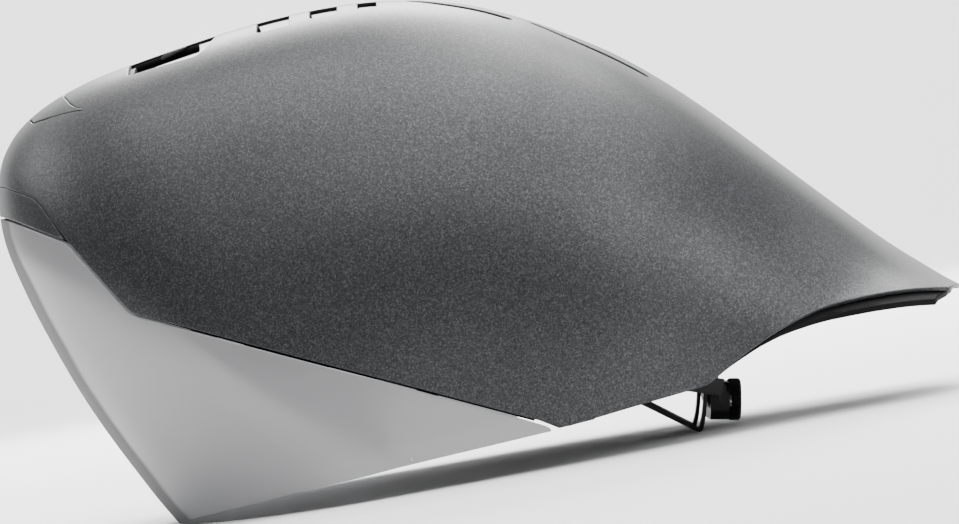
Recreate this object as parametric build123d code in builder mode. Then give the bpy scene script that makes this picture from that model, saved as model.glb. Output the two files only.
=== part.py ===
from build123d import *
import math
import os
import numpy as np

os.makedirs("parts", exist_ok=True)

# Closed-faced time trial helmet with a clip-on wrap shield, standing on the shield's lower tip
# and on the corners of the fit cradle.  -X is the front, +X the tail, -Y the wearer's left, +Z up.

# ------------------------------------------------------------------ driving dimensions (mm)
S = 0.362                      # millimetres per unit of the side-view drawing
CX, CY = 480.0, 262.0          # centre of the side-view drawing
TILT = math.radians(10.17)     # nose-up tip from the worn pose to the resting pose
FLOOR = -73.6                  # resting plane in the drawing, moved to Z = 0
VIEW_D = 1600.0                # distance at which the side view was drawn
T_SHELL = 1.5                  # outer shell wall
T_LENS = 2.2                   # shield wall
LINER_IN = 1.65                # depth of the liner's outside below the shell's outside
SEAM = 0.8                     # gap between shield and shell
CAV_X, CAV_Z = -45.0, -15.0    # centre of the head cavity in the drawing
CAV_A, CAV_B, CAV_C = 102.0, 78.0, 84.0   # half length, half width, height of the head cavity
SHIELD_TRAVEL = 100.0          # how far the shield pulls off
HEIGHT_TRAVEL = 10.0           # fit cradle height adjustment
SWING_DEG = 14.0               # fit cradle forward swing
PINION_R = 4.0                 # pitch radius of the tensioner pinion
PINION_N = 10                  # its teeth
DIAL_R = 7.6                   # fit dial radius
RIB_HALF = 3.0                 # half width of the vent spine
CT, ST = math.cos(TILT), math.sin(TILT)


def to_row(x0, z0):
    return x0 * CT + z0 * ST, -x0 * ST + z0 * CT - FLOOR


def side(px, py, y=0.0):
    """drawing point to (X, Z), for a feature that lies y off the centre plane"""
    k = S * (VIEW_D - abs(y)) / VIEW_D
    return to_row((px - CX) * k, (CY - py) * k)


def spline(xs, ys, xq):
    """natural cubic spline"""
    xs = np.asarray(xs, float)
    ys = np.asarray(ys, float)
    n = len(xs)
    h = np.diff(xs)
    y2 = ys.reshape(n, -1)
    A = np.zeros((n, n))
    R = np.zeros((n, y2.shape[1]))
    A[0, 0] = A[-1, -1] = 1
    for i in range(1, n - 1):
        A[i, i - 1], A[i, i], A[i, i + 1] = h[i - 1], 2 * (h[i - 1] + h[i]), h[i]
        R[i] = 6 * ((y2[i + 1] - y2[i]) / h[i] - (y2[i] - y2[i - 1]) / h[i - 1])
    M = np.linalg.solve(A, R)
    xq = np.atleast_1d(np.asarray(xq, float))
    k = np.clip(np.searchsorted(xs, xq) - 1, 0, n - 2)
    d, e, hk = (xq - xs[k])[:, None], (xs[k + 1] - xq)[:, None], h[k][:, None]
    out = (M[k] * e**3 + M[k + 1] * d**3) / (6 * hk) + (y2[k] / hk - M[k] * hk / 6) * e + (y2[k + 1] / hk - M[k + 1] * hk / 6) * d
    return out.reshape((len(xq),) + ys.shape[1:])


# centre line of the outside: up the shield's front, over the brow and crown, down to the tail
CROWN = [(222, 571), (200, 545), (180, 522), (161, 500), (136, 468), (112, 436), (90, 404), (70, 372), (52, 340), (35, 308), (20, 276),
         (8, 246), (2.5, 222), (0.5, 200), (0.8, 180), (3.5, 163), (9.5, 148), (18, 134), (34, 117), (50, 104.5), (66, 94.5),
         (98, 78.5), (130, 66), (178, 49), (226, 33), (274, 19.5), (322, 9), (370, 2.3), (402, 0.8), (434, 1.8), (466, 5), (498, 12),
         (530, 21), (562, 32.5), (594, 45), (626, 60), (658, 78), (690, 98.3), (722, 120.5), (754, 144), (802, 179.7), (850, 215),
         (898, 248.5), (930, 268.5), (957, 285.5), (984, 302.5), (1004, 315)]
QX, QZ = side(480, 560)        # the fan of section planes turns about this line

_p = sorted((math.atan2(z - QZ, x - QX), math.hypot(x - QX, z - QZ)) for x, z in (side(*c) for c in CROWN))
CROWN_A = np.array([a for a, r in _p])
CROWN_R = np.array([r for a, r in _p])
K = 13
V = np.linspace(0, 1, K)


def reach(deg):
    """distance from the fan line to the outside at a drawing angle"""
    return float(spline(CROWN_A, CROWN_R, math.radians(deg) - TILT)[0])


def dome(deg, A, B, T, n=2.0, tuck=0.0):
    T = min(T, reach(deg) - 32)
    t = T * V * V
    y = B * (1 - (np.clip(A - t, 0, None) / A) ** n) ** (1 / n)
    return deg, T, np.where(t < A, y, B - tuck * ((t - A) / 20.0) ** 2)


def table(deg, T, ts, ys):
    return deg, T, spline(np.sqrt(ts), ys, np.sqrt(T * V * V))


# section planes: angle in the drawing, depth, half widths from the centre line down the side
SECTIONS = [
    table(26.5, 30, [0, 0.5, 1.5, 4, 8, 14, 20, 30], [0, 30, 52, 64.5, 68.5, 72, 75, 79]),
    table(29.9, 30, [0, 0.5, 1.5, 4, 8, 14, 20, 30], [0, 30, 52, 64.5, 68.5, 72, 75, 79]),
    table(31.5, 34, [0, 0.8, 2.5, 6, 11, 18, 25, 34], [0, 25, 44, 58.5, 66, 72, 76.5, 81]),
    table(33.5, 45, [0, 1.5, 5, 10, 16, 23, 32, 45], [0, 26, 44.5, 57, 65.5, 72, 78, 84]),
    table(37.0, 80, [0, 3, 8, 16, 27, 40, 54, 80], [0, 26.5, 42, 55.5, 66, 74, 80, 87]),
    table(42.0, 105, [0, 4, 10, 20, 35, 52, 70, 105], [0, 27, 42, 56.5, 69.5, 79, 85.5, 93]),
    dome(50.0, 110, 96, 130, 2.03),
    dome(60.0, 104, 99.5, 140, 2.03),
    dome(75.0, 107, 101.5, 165, 2.05, 0.2),
    dome(90.0, 117, 102, 175, 2.06, 0.2),
    dome(107.0, 130, 102, 180, 2.06, 0.2),
    dome(123.0, 153, 102, 190, 2.04, 0.2),
    dome(137.0, 182, 102, 200),
    dome(150.0, 186, 101, 190),
    dome(163.0, 165, 99, 160),
    dome(176.0, 143, 97, 130),
    dome(181.0, 137, 96, 122),
]
SEC_A = np.array([math.radians(s[0]) - TILT for s in SECTIONS])
SEC_T = np.array([s[1] for s in SECTIONS])
SEC_Y = np.array([s[2] for s in SECTIONS])


def skin(angles, vs):
    """(angle, radius, half width) of the outside at those fan angles and section parameters"""
    T, Y, R = spline(SEC_A, SEC_T, angles), spline(SEC_A, SEC_Y, angles), spline(CROWN_A, CROWN_R, angles)
    y = spline(V, Y.T, vs).T
    r = R[:, None] - T[:, None] * np.asarray(vs)[None, :] ** 2
    return r, y


def offset_sections(angles, vs, depth):
    """the surface that lies `depth` inside the outside, cut by the same fan of planes"""
    if depth == 0:
        return skin(angles, vs)
    dense = np.linspace(SEC_A[0], SEC_A[-1], 260)
    r, y = skin(dense, vs)
    P = np.stack([QX + r * np.cos(dense)[:, None], y, QZ + r * np.sin(dense)[:, None]], -1)
    full = np.concatenate([P[:, :0:-1] * [1, -1, 1], P], 1)
    du = np.gradient(full, axis=0)
    dv = np.gradient(full, axis=1)
    n = np.cross(du, dv)
    n /= np.linalg.norm(n, axis=-1, keepdims=True)
    n = n[:, len(vs) - 1:]
    out = np.stack([np.cos(dense)[:, None] * np.ones_like(y), np.zeros_like(y), np.sin(dense)[:, None] * np.ones_like(y)], -1)
    flip = np.sign((n[:, 0] * out[:, 0]).sum(-1))[:, None, None]
    O = P - n * flip * depth
    O[:, 0, 1] = 0
    a2 = np.arctan2(O[..., 2] - QZ, O[..., 0] - QX)
    r2 = np.hypot(O[..., 2] - QZ, O[..., 0] - QX)
    R = np.zeros((len(angles), len(vs)))
    Y = np.zeros_like(R)
    for j in range(len(vs)):
        R[:, j] = np.interp(angles, a2[:, j], r2[:, j])
        Y[:, j] = np.interp(angles, a2[:, j], O[:, j, 1])
    return R, Y


FAN = [28.0, 30, 31.5, 33.5, 36, 39, 43, 48, 54, 61, 69, 78, 88, 98, 108, 118, 128, 135, 140, 143.5, 146.5, 150, 155, 160, 167, 174, 179]


def band(d0, d1, a0, a1, n, v1=1.0, nv=13):
    """closed wall between the offset surfaces at depths d0 and d1, from drawing angle a0 to a1"""
    angles = np.radians(np.linspace(a0, a1, n)) - TILT if np.isscalar(n) else np.radians(n) - TILT
    vs = np.linspace(0, v1, nv)
    ro, yo = offset_sections(angles, vs, d0)
    ri, yi = offset_sections(angles, vs, d1)
    with BuildPart() as wall:
        for i, a in enumerate(angles):
            pl = Plane(origin=(QX, 0, QZ), x_dir=(0, 1, 0), z_dir=(math.sin(a), 0, -math.cos(a)))
            o = [(-yo[i, j], ro[i, j]) for j in range(nv - 1, 0, -1)] + [(yo[i, j], ro[i, j]) for j in range(nv)]
            q = [(-yi[i, j], ri[i, j]) for j in range(nv - 1, 0, -1)] + [(yi[i, j], ri[i, j]) for j in range(nv)]
            with BuildSketch(pl):
                with BuildLine():
                    Spline(*o)
                    Line(o[-1], q[-1])
                    Spline(*q[::-1])
                    Line(q[0], o[0])
                make_face()
        loft()
    return wall.part


def strip(d0, d1, a0, a1, v0, v1, nv=7):
    """small piece of such a wall around drawing angles a0 to a1, section parameter v0 to v1, on both sides only where v0 is over 0"""
    i0, i1 = np.searchsorted(FAN, a0), np.searchsorted(FAN, a1)
    angles = np.radians(FAN[max(0, i0 - 3):i1 + 3]) - TILT
    grid = np.linspace(0, 1, 13)
    vs = np.linspace(v0, v1, nv)
    rows = []
    for d in (d0, d1):
        r, y = offset_sections(angles, grid, d)
        rows.append((spline(grid, r.T, vs).T, spline(grid, y.T, vs).T))
    with BuildPart() as piece:
        for i, a in enumerate(angles):
            pl = Plane(origin=(QX, 0, QZ), x_dir=(0, 1, 0), z_dir=(math.sin(a), 0, -math.cos(a)))
            lines = []
            for r, y in rows:
                right = [(y[i, j], r[i, j]) for j in range(nv)]
                lines.append(right if v0 > 0 else [(-p, q) for p, q in right[:0:-1]] + right)
            o, q = lines
            with BuildSketch(pl):
                with BuildLine():
                    Spline(*o)
                    Line(o[-1], q[-1])
                    Spline(*q[::-1])
                    Line(q[0], o[0])
                make_face()
        loft()
        if v0 > 0:
            mirror(about=Plane.XZ)
    return piece.part


def tab_walls(d0, d1, wide=0.0):
    """pieces of wall where the three tabs are"""
    return [strip(d0, d1, 137, 147, 0, 0.12 + wide), strip(d0, d1, 124, 140, 0.68 - wide, 0.88 + wide)]



def shifted(pts, d):
    """open polyline moved d to its left"""
    p = np.array(pts, float)
    t = np.gradient(p, axis=0)
    t /= np.linalg.norm(t, axis=1, keepdims=True)
    return [tuple(v) for v in p + d * np.stack([-t[:, 1], t[:, 0]], 1)]


def prism(pts, y0, y1):
    """side-view polygon (X, Z) made solid from y0 to y1"""
    with BuildPart() as b:
        with BuildSketch(Plane.XZ.offset(-y0)):
            Polygon(*pts, align=None)
        extrude(amount=-(y1 - y0))
    return b.part


def column(pts, z0, z1):
    """plan-view polygon (X, Y) made solid from z0 to z1"""
    with BuildPart() as b:
        with BuildSketch(Plane.XY.offset(z0)):
            Polygon(*pts, align=None)
        extrude(amount=z1 - z0)
    return b.part


def core(depth):
    """everything inside the offset surface at that depth, down to the fan's inner reach"""
    angles = np.radians(FAN) - TILT
    vs = np.linspace(0, 1, 13)
    r, y = offset_sections(angles, vs, depth)
    with BuildPart() as solid:
        for i, a in enumerate(angles):
            pl = Plane(origin=(QX, 0, QZ), x_dir=(0, 1, 0), z_dir=(math.sin(a), 0, -math.cos(a)))
            o = [(-y[i, j], r[i, j]) for j in range(12, 0, -1)] + [(y[i, j], r[i, j]) for j in range(13)]
            with BuildSketch(pl):
                with BuildLine():
                    Spline(*o)
                    Line(o[-1], o[0])
                make_face()
        loft()
    return solid.part



# ------------------------------------------------------------------ seam and rim lines, side view (X, Z)
BROW_TOP = [(-180, 132.0), (-163.0, 130.3), (-159.8, 128.6), (-150.7, 123.8), (-148.3, 121.0), (-140.2, 106.3)]
LENS_TOP = [(-180, 122.0), (-167.5, 120.4), (-160.9, 117.6), (-153.7, 113.7), (-140.2, 106.0)]
DIAGONAL = [(-130.7, 91.6), (-121.4, 77.5), (-98.3, 67.3), (-65.9, 52.5), (-34.0, 37.9), (-2.2, 23.0), (17.4, 13.9)]
RIM = [(19.6, 13.25), (45.0, 15.9), (64.0, 17.7), (68.2, 18.1), (70.8, 18.9), (74.0, 20.8), (78.8, 23.7), (83.5, 26.0), (87.8, 28.0),
       (94.4, 31.1), (99.1, 32.9), (103.7, 34.5), (108.3, 35.8), (112.8, 36.9), (117.3, 37.6), (123.2, 38.1), (130.4, 38.4), (139.0, 38.4),
       (147.6, 37.9), (156.2, 36.7), (159.8, 36.2), (161.5, 33.5), (185, 30)]
LENS_LOW = [(12.2, 13.35), (-4.1, 12.2), (-39.0, 9.8), (-74.5, 6.9), (-93.1, 4.9), (-117.2, 1.8), (-122.8, 0.0), (-180, 0.0)]
TAIL_PLAN = [(-200, -130), (150, -130), (155.5, -66), (161.0, -57.5), (164.6, -45), (167.2, -26), (168.2, -10),
             (168.2, 10), (167.2, 26), (164.6, 45), (161.0, 57.5), (155.5, 66), (150, 130), (-200, 130)]

wall = band(0, T_SHELL, 0, 0, FAN)
lens_wall = band(0, T_LENS, 0, 0, FAN)
inner_core = core(LINER_IN)

# top vents: X range at the near corner, half width; the rear edge of the scoop is bowed
SCOOP = [(-110.9, -24.0), (-99.7, -26.6), (-88.5, -28.7), (-82.9, -29.1), (-79.0, -20.0), (-76.5, 0.0),
         (-79.0, 20.0), (-82.9, 29.1), (-88.5, 28.7), (-99.7, 26.6), (-110.9, 24.0)]
WINDOWS = [(-63.7, -51.8, 29.2), (-44.3, -34.3, 27.6), (-26.9, -20.1, 25.6)]
SLOT1 = [(-4.0, 13.5), (9.1, 20.9), (19.2, 22.6), (26.5, 24.0)]
SLOT2 = [(36.0, 18.2), (52.1, 24.4), (68.1, 24.6)]


def slot_cut(path, width, z0, z1):
    """pair of curved slots with rounded ends, mirrored about the centre plane"""
    fine = spline(range(len(path)), path, np.linspace(0, len(path) - 1, 9))
    a, b = shifted(fine, width / 2), shifted(fine, -width / 2)
    outline = list(a)
    for end, start, centre in ((a[-1], b[-1], fine[-1]), (b[0], a[0], fine[0])):
        ang = math.atan2(end[1] - centre[1], end[0] - centre[0])
        outline += [(centre[0] + width / 2 * math.cos(ang - math.pi * k / 6), centre[1] + width / 2 * math.sin(ang - math.pi * k / 6)) for k in range(1, 6)]
        if end is a[-1]:
            outline += list(b)[::-1]
    with BuildPart() as s:
        with BuildSketch(Plane.XY.offset(z0)):
            Polygon(*outline, align=None)
            Polygon(*[(x, -y) for x, y in outline], align=None)
        extrude(amount=z1 - z0)
    return s.part


# ------------------------------------------------------------------ outer shell and its inserts
BAT = [(-151.9, 0.0), (-151.9, 1.9), (-148.6, 20.0), (-143.6, 25.7), (-137.6, 30.2), (-128.0, 36.8), (-131.8, 31.0), (-133.7, 26.0),
       (-136.0, 15.0), (-137.0, 0.0)]
BAT = BAT + [(x, -y) for x, y in BAT[-2:0:-1]]
BAT_IN = [(x + (0.35 if x < -140 else -0.35), y * 0.985) for x, y in BAT]

with BuildPart() as outer_shell:
    add(wall)
    add(prism(BROW_TOP + DIAGONAL + RIM + [(200, 260), (-200, 260)], -130, 130), mode=Mode.INTERSECT)
    add(column(TAIL_PLAN, -20, 260), mode=Mode.INTERSECT)
    add(column(SCOOP, 140, 190), mode=Mode.SUBTRACT)
    for x0, x1, w in WINDOWS:
        with BuildSketch(Plane.XY.offset(150)):
            with Locations(((x0 + x1) / 2, 0)):
                Rectangle(x1 - x0, 2 * w)
        extrude(amount=40, mode=Mode.SUBTRACT)
    add(slot_cut(SLOT1, 4.6, 145, 190), mode=Mode.SUBTRACT)
    add(slot_cut(SLOT2, 3.4, 110, 190), mode=Mode.SUBTRACT)
    add(column(BAT, 140, 190), mode=Mode.SUBTRACT)

with BuildPart() as forehead_insert:
    add(wall)
    add(column(BAT_IN, 140, 190), mode=Mode.INTERSECT)

with BuildPart() as brow_panel:
    add(wall)
    add(prism([(x, z - 0.3) for x, z in BROW_TOP[:-1]] + [(-141.2, 106.9)] + LENS_TOP[-2::-1], -130, 130), mode=Mode.INTERSECT)

TRIM_LOW = [(84.5, 26.6), (89.8, 28.1), (94.4, 29.9), (99.0, 31.5), (103.5, 32.7), (108.0, 33.7), (112.5, 34.6), (116.9, 35.2),
            (125.6, 35.8), (134.1, 35.9), (142.6, 35.4), (151.1, 34.6), (159.6, 33.8), (170, 32.8)]
with BuildPart() as tail_trim:
    add(band(LINER_IN, 4.2, 0, 0, FAN))
    add(prism(TRIM_LOW + [(170, 90), (126, 90), (124, 60), (119.5, 46.5), (112.5, 39.6), (108, 37.6), (99, 34.9), (89.8, 31.4), (85.5, 28.8)],
              -130, 130), mode=Mode.INTERSECT)
    add(column([(x - 3.2, y) for x, y in TAIL_PLAN], -20, 260), mode=Mode.INTERSECT)

# ------------------------------------------------------------------ shield: wrap lens, joggled tabs with magnets
UP = (ST, 0, CT)
AFT = (CT, 0, -ST)
top_edge = shifted(LENS_TOP + DIAGONAL, -SEAM)
top_edge[-1] = (14.6, 14.3)
with BuildPart() as shield_lens:
    add(lens_wall)
    add(prism(top_edge + [(14.9, 13.9), (14.4, 13.5)] + LENS_LOW, -130, 130), mode=Mode.INTERSECT)

seam_line = LENS_TOP + DIAGONAL
tab_low = shifted(seam_line, -7.0)
tab_gap = shifted(seam_line, -SEAM)
tab_high = shifted(seam_line, 7.5)


def between(lower, upper):
    return prism(list(lower) + list(upper)[::-1], -130, 130)


above_gap = between(tab_gap, shifted(seam_line, 12.0))
TAB_SIDE = (-84.0, -64.0)
TAB_BROW = 11.0


def tab_zone(grow, deep):
    """region of the brow tab and of the two side tabs"""
    with BuildPart() as z:
        with BuildSketch(Plane.XY.offset(60)):
            with Locations((-160, 0)):
                Rectangle(60, 2 * (TAB_BROW + grow))
        extrude(amount=120)
        with BuildSketch(Plane.XY.offset(0)):
            with Locations(((TAB_SIDE[0] + TAB_SIDE[1]) / 2, 90), ((TAB_SIDE[0] + TAB_SIDE[1]) / 2, -90)):
                Rectangle(TAB_SIDE[1] - TAB_SIDE[0] + 2 * grow, 50)
        extrude(amount=100)
    return z.part


with BuildPart() as joggle:
    for piece in tab_walls(1.6, 3.0, 0.04):
        add(piece)
    add(above_gap, mode=Mode.INTERSECT)

with BuildPart() as shield_tabs:
    for piece in tab_walls(T_LENS + 0.3, 4.6):
        add(piece)
    add(tab_zone(0, 0), mode=Mode.INTERSECT)
    add(between(tab_low, tab_high), mode=Mode.INTERSECT)
    add(joggle.part, mode=Mode.SUBTRACT)

# ------------------------------------------------------------------ head cavity
def seam_z(x):
    return float(np.interp(x, [p[0] for p in DIAGONAL], [p[1] for p in DIAGONAL]))


HEAD_O = to_row(CAV_X, CAV_Z + 0.0)
HEAD = Plane(origin=(HEAD_O[0], 0, HEAD_O[1]), x_dir=AFT, z_dir=UP)
LEVELS = [-110, -70, -35, 0, 20, 38, 54, 66, 74.5, 79.5, 82.2]


def cavity(d, bottom=-110.0):
    """head-shaped hollow, d smaller all round"""
    a, b, c = CAV_A - d, CAV_B - d, CAV_C - d
    with BuildPart() as h:
        for lv in LEVELS:
            if lv < bottom:
                continue
            z = lv * c / CAV_C if lv > 0 else lv
            f = math.sqrt(1 - (z / c) ** 2) if z > 0 else 1 - 0.0005 * z
            with BuildSketch(HEAD.offset(z)):
                Ellipse(a * f, b * f)
        loft()
    return h.part


def hrow(hx, hz):
    """point in the head's own side view to (X, Z)"""
    return to_row(hx + CAV_X, hz + CAV_Z)


def hprism(pts, y0, y1):
    return prism([hrow(*p) for p in pts], y0, y1)


hollow = cavity(0)

# ------------------------------------------------------------------ liner
LINER_LOW = [(x, z + 1.4) for x, z in LENS_TOP[:-1]] + [(-139.4, 107.2)] + shifted(DIAGONAL[:-1], 1.6) + [
    side(555, 418), side(588, 410), side(601, 360), side(700, 356), side(713, 353.5), (84.5, 31.2), (89.8, 33.2), (99.0, 37.0),
    (108.0, 40.8), (119.5, 51.0), side(812, 196), (150, 260), (-180, 260)]
TOP_CHANNEL = [(-109.5, -21.5), (-88.0, -27.0), (-50.0, -28.0), (-18.5, -24.0), (-18.5, 24.0), (-50.0, 28.0), (-88.0, 27.0), (-109.5, 21.5)]
channel_skin = core(13.0)

with BuildPart() as spine_notch:
    add(column([(-113.3, -3.3), (-14.8, -3.3), (-14.8, 3.3), (-113.3, 3.3)], 140, 190))
    add(core(3.4), mode=Mode.SUBTRACT)
with BuildPart() as channel_tool:
    add(column(TOP_CHANNEL, 120, 190))
    add(channel_skin, mode=Mode.SUBTRACT)

with BuildPart() as port_tool:
    for x, w in ((-97.0, 12), (-72.0, 14), (-46.0, 12), (-26.0, 9)):
        with BuildSketch(Plane.XY.offset(70)):
            with Locations((x, -14), (x, 14)):
                RectangleRounded(w, 15, 3.5)
        extrude(amount=110)

with BuildPart() as exhaust_tool:
    for hz in (38.0,):
        o = hrow(70, hz)
        with BuildSketch(Plane(origin=(o[0], 0, o[1]), x_dir=(0, 1, 0), z_dir=AFT)):
            with Locations((-22, 0), (22, 0)):
                RectangleRounded(28, 14, 5)
        extrude(amount=120)

STEM_POCKET = [side(650, 319.7), side(692, 319.7), side(735, 366), side(735, 420), side(690, 420), side(640, 400)]
HINGE = side(672, 335)

with BuildPart() as eps_liner:
    add(inner_core)
    add(prism(LINER_LOW, -130, 130), mode=Mode.INTERSECT)
    add(hollow, mode=Mode.SUBTRACT)
    add(channel_tool.part, mode=Mode.SUBTRACT)
    add(spine_notch.part, mode=Mode.SUBTRACT)
    add(port_tool.part, mode=Mode.SUBTRACT)
    add(exhaust_tool.part, mode=Mode.SUBTRACT)
    add(prism(STEM_POCKET, -13.6, 13.6), mode=Mode.SUBTRACT)

with BuildPart() as pocket_tool:
    add(core(0.5))
    add(core(9.5), mode=Mode.SUBTRACT)
    with BuildSketch(Plane.XZ):
        Polygon((-200, 105), (-135, 105), (-135, 134), (-200, 134), align=None)
        Polygon((-86.5, seam_z(-86.5) - 6), (-61.5, seam_z(-61.5) - 6), (-61.5, seam_z(-61.5) + 11), (-86.5, seam_z(-86.5) + 11), align=None)
    extrude(amount=130, both=True, mode=Mode.INTERSECT)
    add(tab_zone(2.0, 0), mode=Mode.INTERSECT)

with BuildPart() as liner_cut:
    add(eps_liner.part)
    add(pocket_tool.part, mode=Mode.SUBTRACT)
eps_liner = liner_cut

# ------------------------------------------------------------------ magnets: one in each tab, a steel keeper inside the shell over it
def plugs(r):
    """rods square to the skin at the middle of each tab's upper half"""
    tip = math.radians(4)
    planes = [Plane(origin=(-150, 0, 126.6), z_dir=(-math.cos(tip), 0, -math.sin(tip)))]
    for s in (-1, 1):
        planes.append(Plane(origin=(-73.0, s * 68, seam_z(-73.0) + 9.0), z_dir=(0, s * 0.985, -0.17)))
    with BuildPart() as b:
        for pl in planes:
            with BuildSketch(pl):
                Circle(r)
            extrude(amount=45)
    return b.part


with BuildPart() as shield_magnets:
    for piece in tab_walls(3.0, 4.6):
        add(piece)
    add(plugs(3.0), mode=Mode.INTERSECT)

with BuildPart() as tabs_bored:
    add(shield_tabs.part)
    add(plugs(3.02), mode=Mode.SUBTRACT)
shield_tabs = tabs_bored

with BuildPart() as magnet_keepers:
    for piece in tab_walls(T_SHELL + 0.3, 2.6):
        add(piece)
    add(plugs(3.6), mode=Mode.INTERSECT)

# ------------------------------------------------------------------ vent spine: flush in each opening, stepped under the bars between
SPANS = [(-110.6, -77.3), (-63.4, -52.1), (-44.0, -34.6), (-26.6, -20.4)]
STEPS = [(-112.5, -73.5), (-78.6, -62.4), (-53.1, -43.0), (-35.6, -25.6), (-21.4, -15.5)]
with BuildPart() as spine_top:
    add(strip(0.1, 2.4, 97, 127, 0, 0.03, 4))
    with BuildSketch(Plane.XY.offset(150)):
        for xa, xb in SPANS:
            with Locations(((xa + xb) / 2, 0)):
                Rectangle(xb - xa, 2 * RIB_HALF)
    extrude(amount=40, mode=Mode.INTERSECT)
with BuildPart() as spine_under:
    add(strip(2.05, 3.1, 97, 127, 0, 0.03, 4))
    with BuildSketch(Plane.XY.offset(140)):
        for xa, xb in STEPS:
            with Locations(((xa + xb) / 2, 0)):
                Rectangle(xb - xa, 2 * RIB_HALF)
    extrude(amount=50, mode=Mode.INTERSECT)
with BuildPart() as vent_spine:
    add(spine_top.part)
    add(spine_under.part)

# ------------------------------------------------------------------ scoop insert: dark floor and fins in the front of the channel
with BuildPart() as scoop_floor:
    add(strip(10.4, 12.7, 114, 127, 0, 0.16))
    add(column([(-108.9, -20.6), (-88.0, -26.0), (-80.5, -26.6), (-80.5, 26.6), (-88.0, 26.0), (-108.9, 20.6)], 120, 190), mode=Mode.INTERSECT)
    with BuildSketch(Plane.XY.offset(70)):
        with Locations((-97, -14), (-97, 14)):
            RectangleRounded(11, 14, 3)
    extrude(amount=110, mode=Mode.SUBTRACT)
with BuildPart() as scoop_fins:
    add(strip(3.4, 11.0, 114, 127, 0, 0.16))
    with BuildSketch(Plane.XY.offset(120)):
        with Locations((-105.6, 0)):
            Rectangle(5.4, 6.0)
        with Locations((-94.0, -22.6)):
            Rectangle(16.0, 1.6, rotation=-14)
        with Locations((-94.0, 22.6)):
            Rectangle(16.0, 1.6, rotation=14)
    extrude(amount=70, mode=Mode.INTERSECT)
with BuildPart() as front_scoop:
    add(scoop_floor.part)
    add(scoop_fins.part)

# ------------------------------------------------------------------ pads on the wall of the head cavity
with BuildPart() as pad_wall:
    add(cavity(0.35))
    add(cavity(5.5), mode=Mode.SUBTRACT)

with BuildPart() as brow_pad:
    add(pad_wall.part)
    add(hprism([(-120, 16), (-60, 16), (-60, 32), (-120, 32)], -54, 54), mode=Mode.INTERSECT)

with BuildPart() as crown_pads:
    add(pad_wall.part)
    with BuildSketch(HEAD.offset(60)):
        with Locations((28, -18), (28, 18)):
            SlotOverall(46, 15)
    extrude(amount=40, mode=Mode.INTERSECT)

with BuildPart() as side_pads:
    add(pad_wall.part)
    add(hprism([(34, 8), (66, 8), (66, 24), (34, 24)], -100, 100), mode=Mode.INTERSECT)

# ------------------------------------------------------------------ straps stowed against the wall of the head cavity
JOIN = (-15.0, 27.0)           # where front, rear and chin webs meet, in the head's own side view
FRONT_A, REAR_A = (-54.0, -8.5), (33.0, -29.0)
WEB_W = 15.0
DIV = [(-25.5, 24.0), (-23.0, 37.5), (-7.0, 37.5), (-4.5, 24.0), (-9.0, 16.5), (-21.0, 16.5)]
with BuildPart() as web_wall:
    add(cavity(0.35))
    add(cavity(1.65), mode=Mode.SUBTRACT)
with BuildPart() as divider_wall:
    add(cavity(0.35))
    add(cavity(3.4), mode=Mode.SUBTRACT)


def bar(p, q, w, e0=0.0):
    p, q = np.array(p, float), np.array(q, float)
    t = (q - p) / np.linalg.norm(q - p)
    n = np.array([-t[1], t[0]]) * w / 2
    p = p - t * e0
    return [tuple(p + n), tuple(q + n), tuple(q - n), tuple(p - n)]


def web(start, s):
    with BuildPart() as b:
        add(web_wall.part)
        add(hprism(bar(start, JOIN, WEB_W), 0, s * 120) if s > 0 else hprism(bar(start, JOIN, WEB_W), -120, 0), mode=Mode.INTERSECT)
        add(hprism([(x * 1.0, z) for x, z in DIV_OUT], -120, 120), mode=Mode.SUBTRACT)
        add(hprism(ABOVE, -120, 120), mode=Mode.SUBTRACT)
    return b.part


DIV_OUT = [(JOIN[0] + (x - JOIN[0]) * 1.02, JOIN[1] + (z - JOIN[1]) * 1.02) for x, z in DIV]
ABOVE = [(-60, 37.7), (30, 37.7), (30, 100), (-60, 100)]
with BuildPart() as front_strap_left:
    add(web(FRONT_A, -1))
with BuildPart() as front_strap_right:
    add(web(FRONT_A, 1))
with BuildPart() as rear_strap_left:
    add(web(REAR_A, -1))
    add(hprism(bar(FRONT_A, JOIN, WEB_W + 0.4), -120, 0), mode=Mode.SUBTRACT)
with BuildPart() as rear_strap_right:
    add(web(REAR_A, 1))
    add(hprism(bar(FRONT_A, JOIN, WEB_W + 0.4), 0, 120), mode=Mode.SUBTRACT)
with BuildPart() as strap_divider_left:
    add(divider_wall.part)
    add(hprism(DIV, -120, 0), mode=Mode.INTERSECT)
with BuildPart() as strap_divider_right:
    add(divider_wall.part)
    add(hprism(DIV, 0, 120), mode=Mode.INTERSECT)

# chin webs: along the wall from each divider, then off it to the buckle
BK_Y, BK_Z, BK_A = 8.0, 66.5, math.radians(20)
CH_B, CH_C = 74.6, 80.2
AXIS_X = (AFT[0], 0, AFT[2])


def ribbon(pts, t):
    a, b = shifted(pts, t / 2), shifted(pts, -t / 2)
    return list(a) + list(b)[::-1]


def chin(s, th_end, tail):
    th = np.radians(np.linspace(30.5, th_end, 9))
    pts = [(s * CH_B * math.cos(a), CH_C * math.sin(a)) for a in th] + [tail]
    with BuildPart() as b:
        with BuildSketch(Plane(origin=(HEAD_O[0] - 22.5 * CT, 0, HEAD_O[1] + 22.5 * ST), x_dir=(0, 1, 0), z_dir=AFT)):
            Polygon(*ribbon(pts, 1.2), align=None)
        extrude(amount=15)
    return b.part


def on_buckle(s):
    return BK_Y + s * math.cos(BK_A), BK_Z - s * math.sin(BK_A)


with BuildPart() as chin_strap_left:
    add(chin(-1, 62.0, on_buckle(-22.6)))
with BuildPart() as chin_strap_right:
    add(chin(1, 54.0, on_buckle(19.0)))

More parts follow.
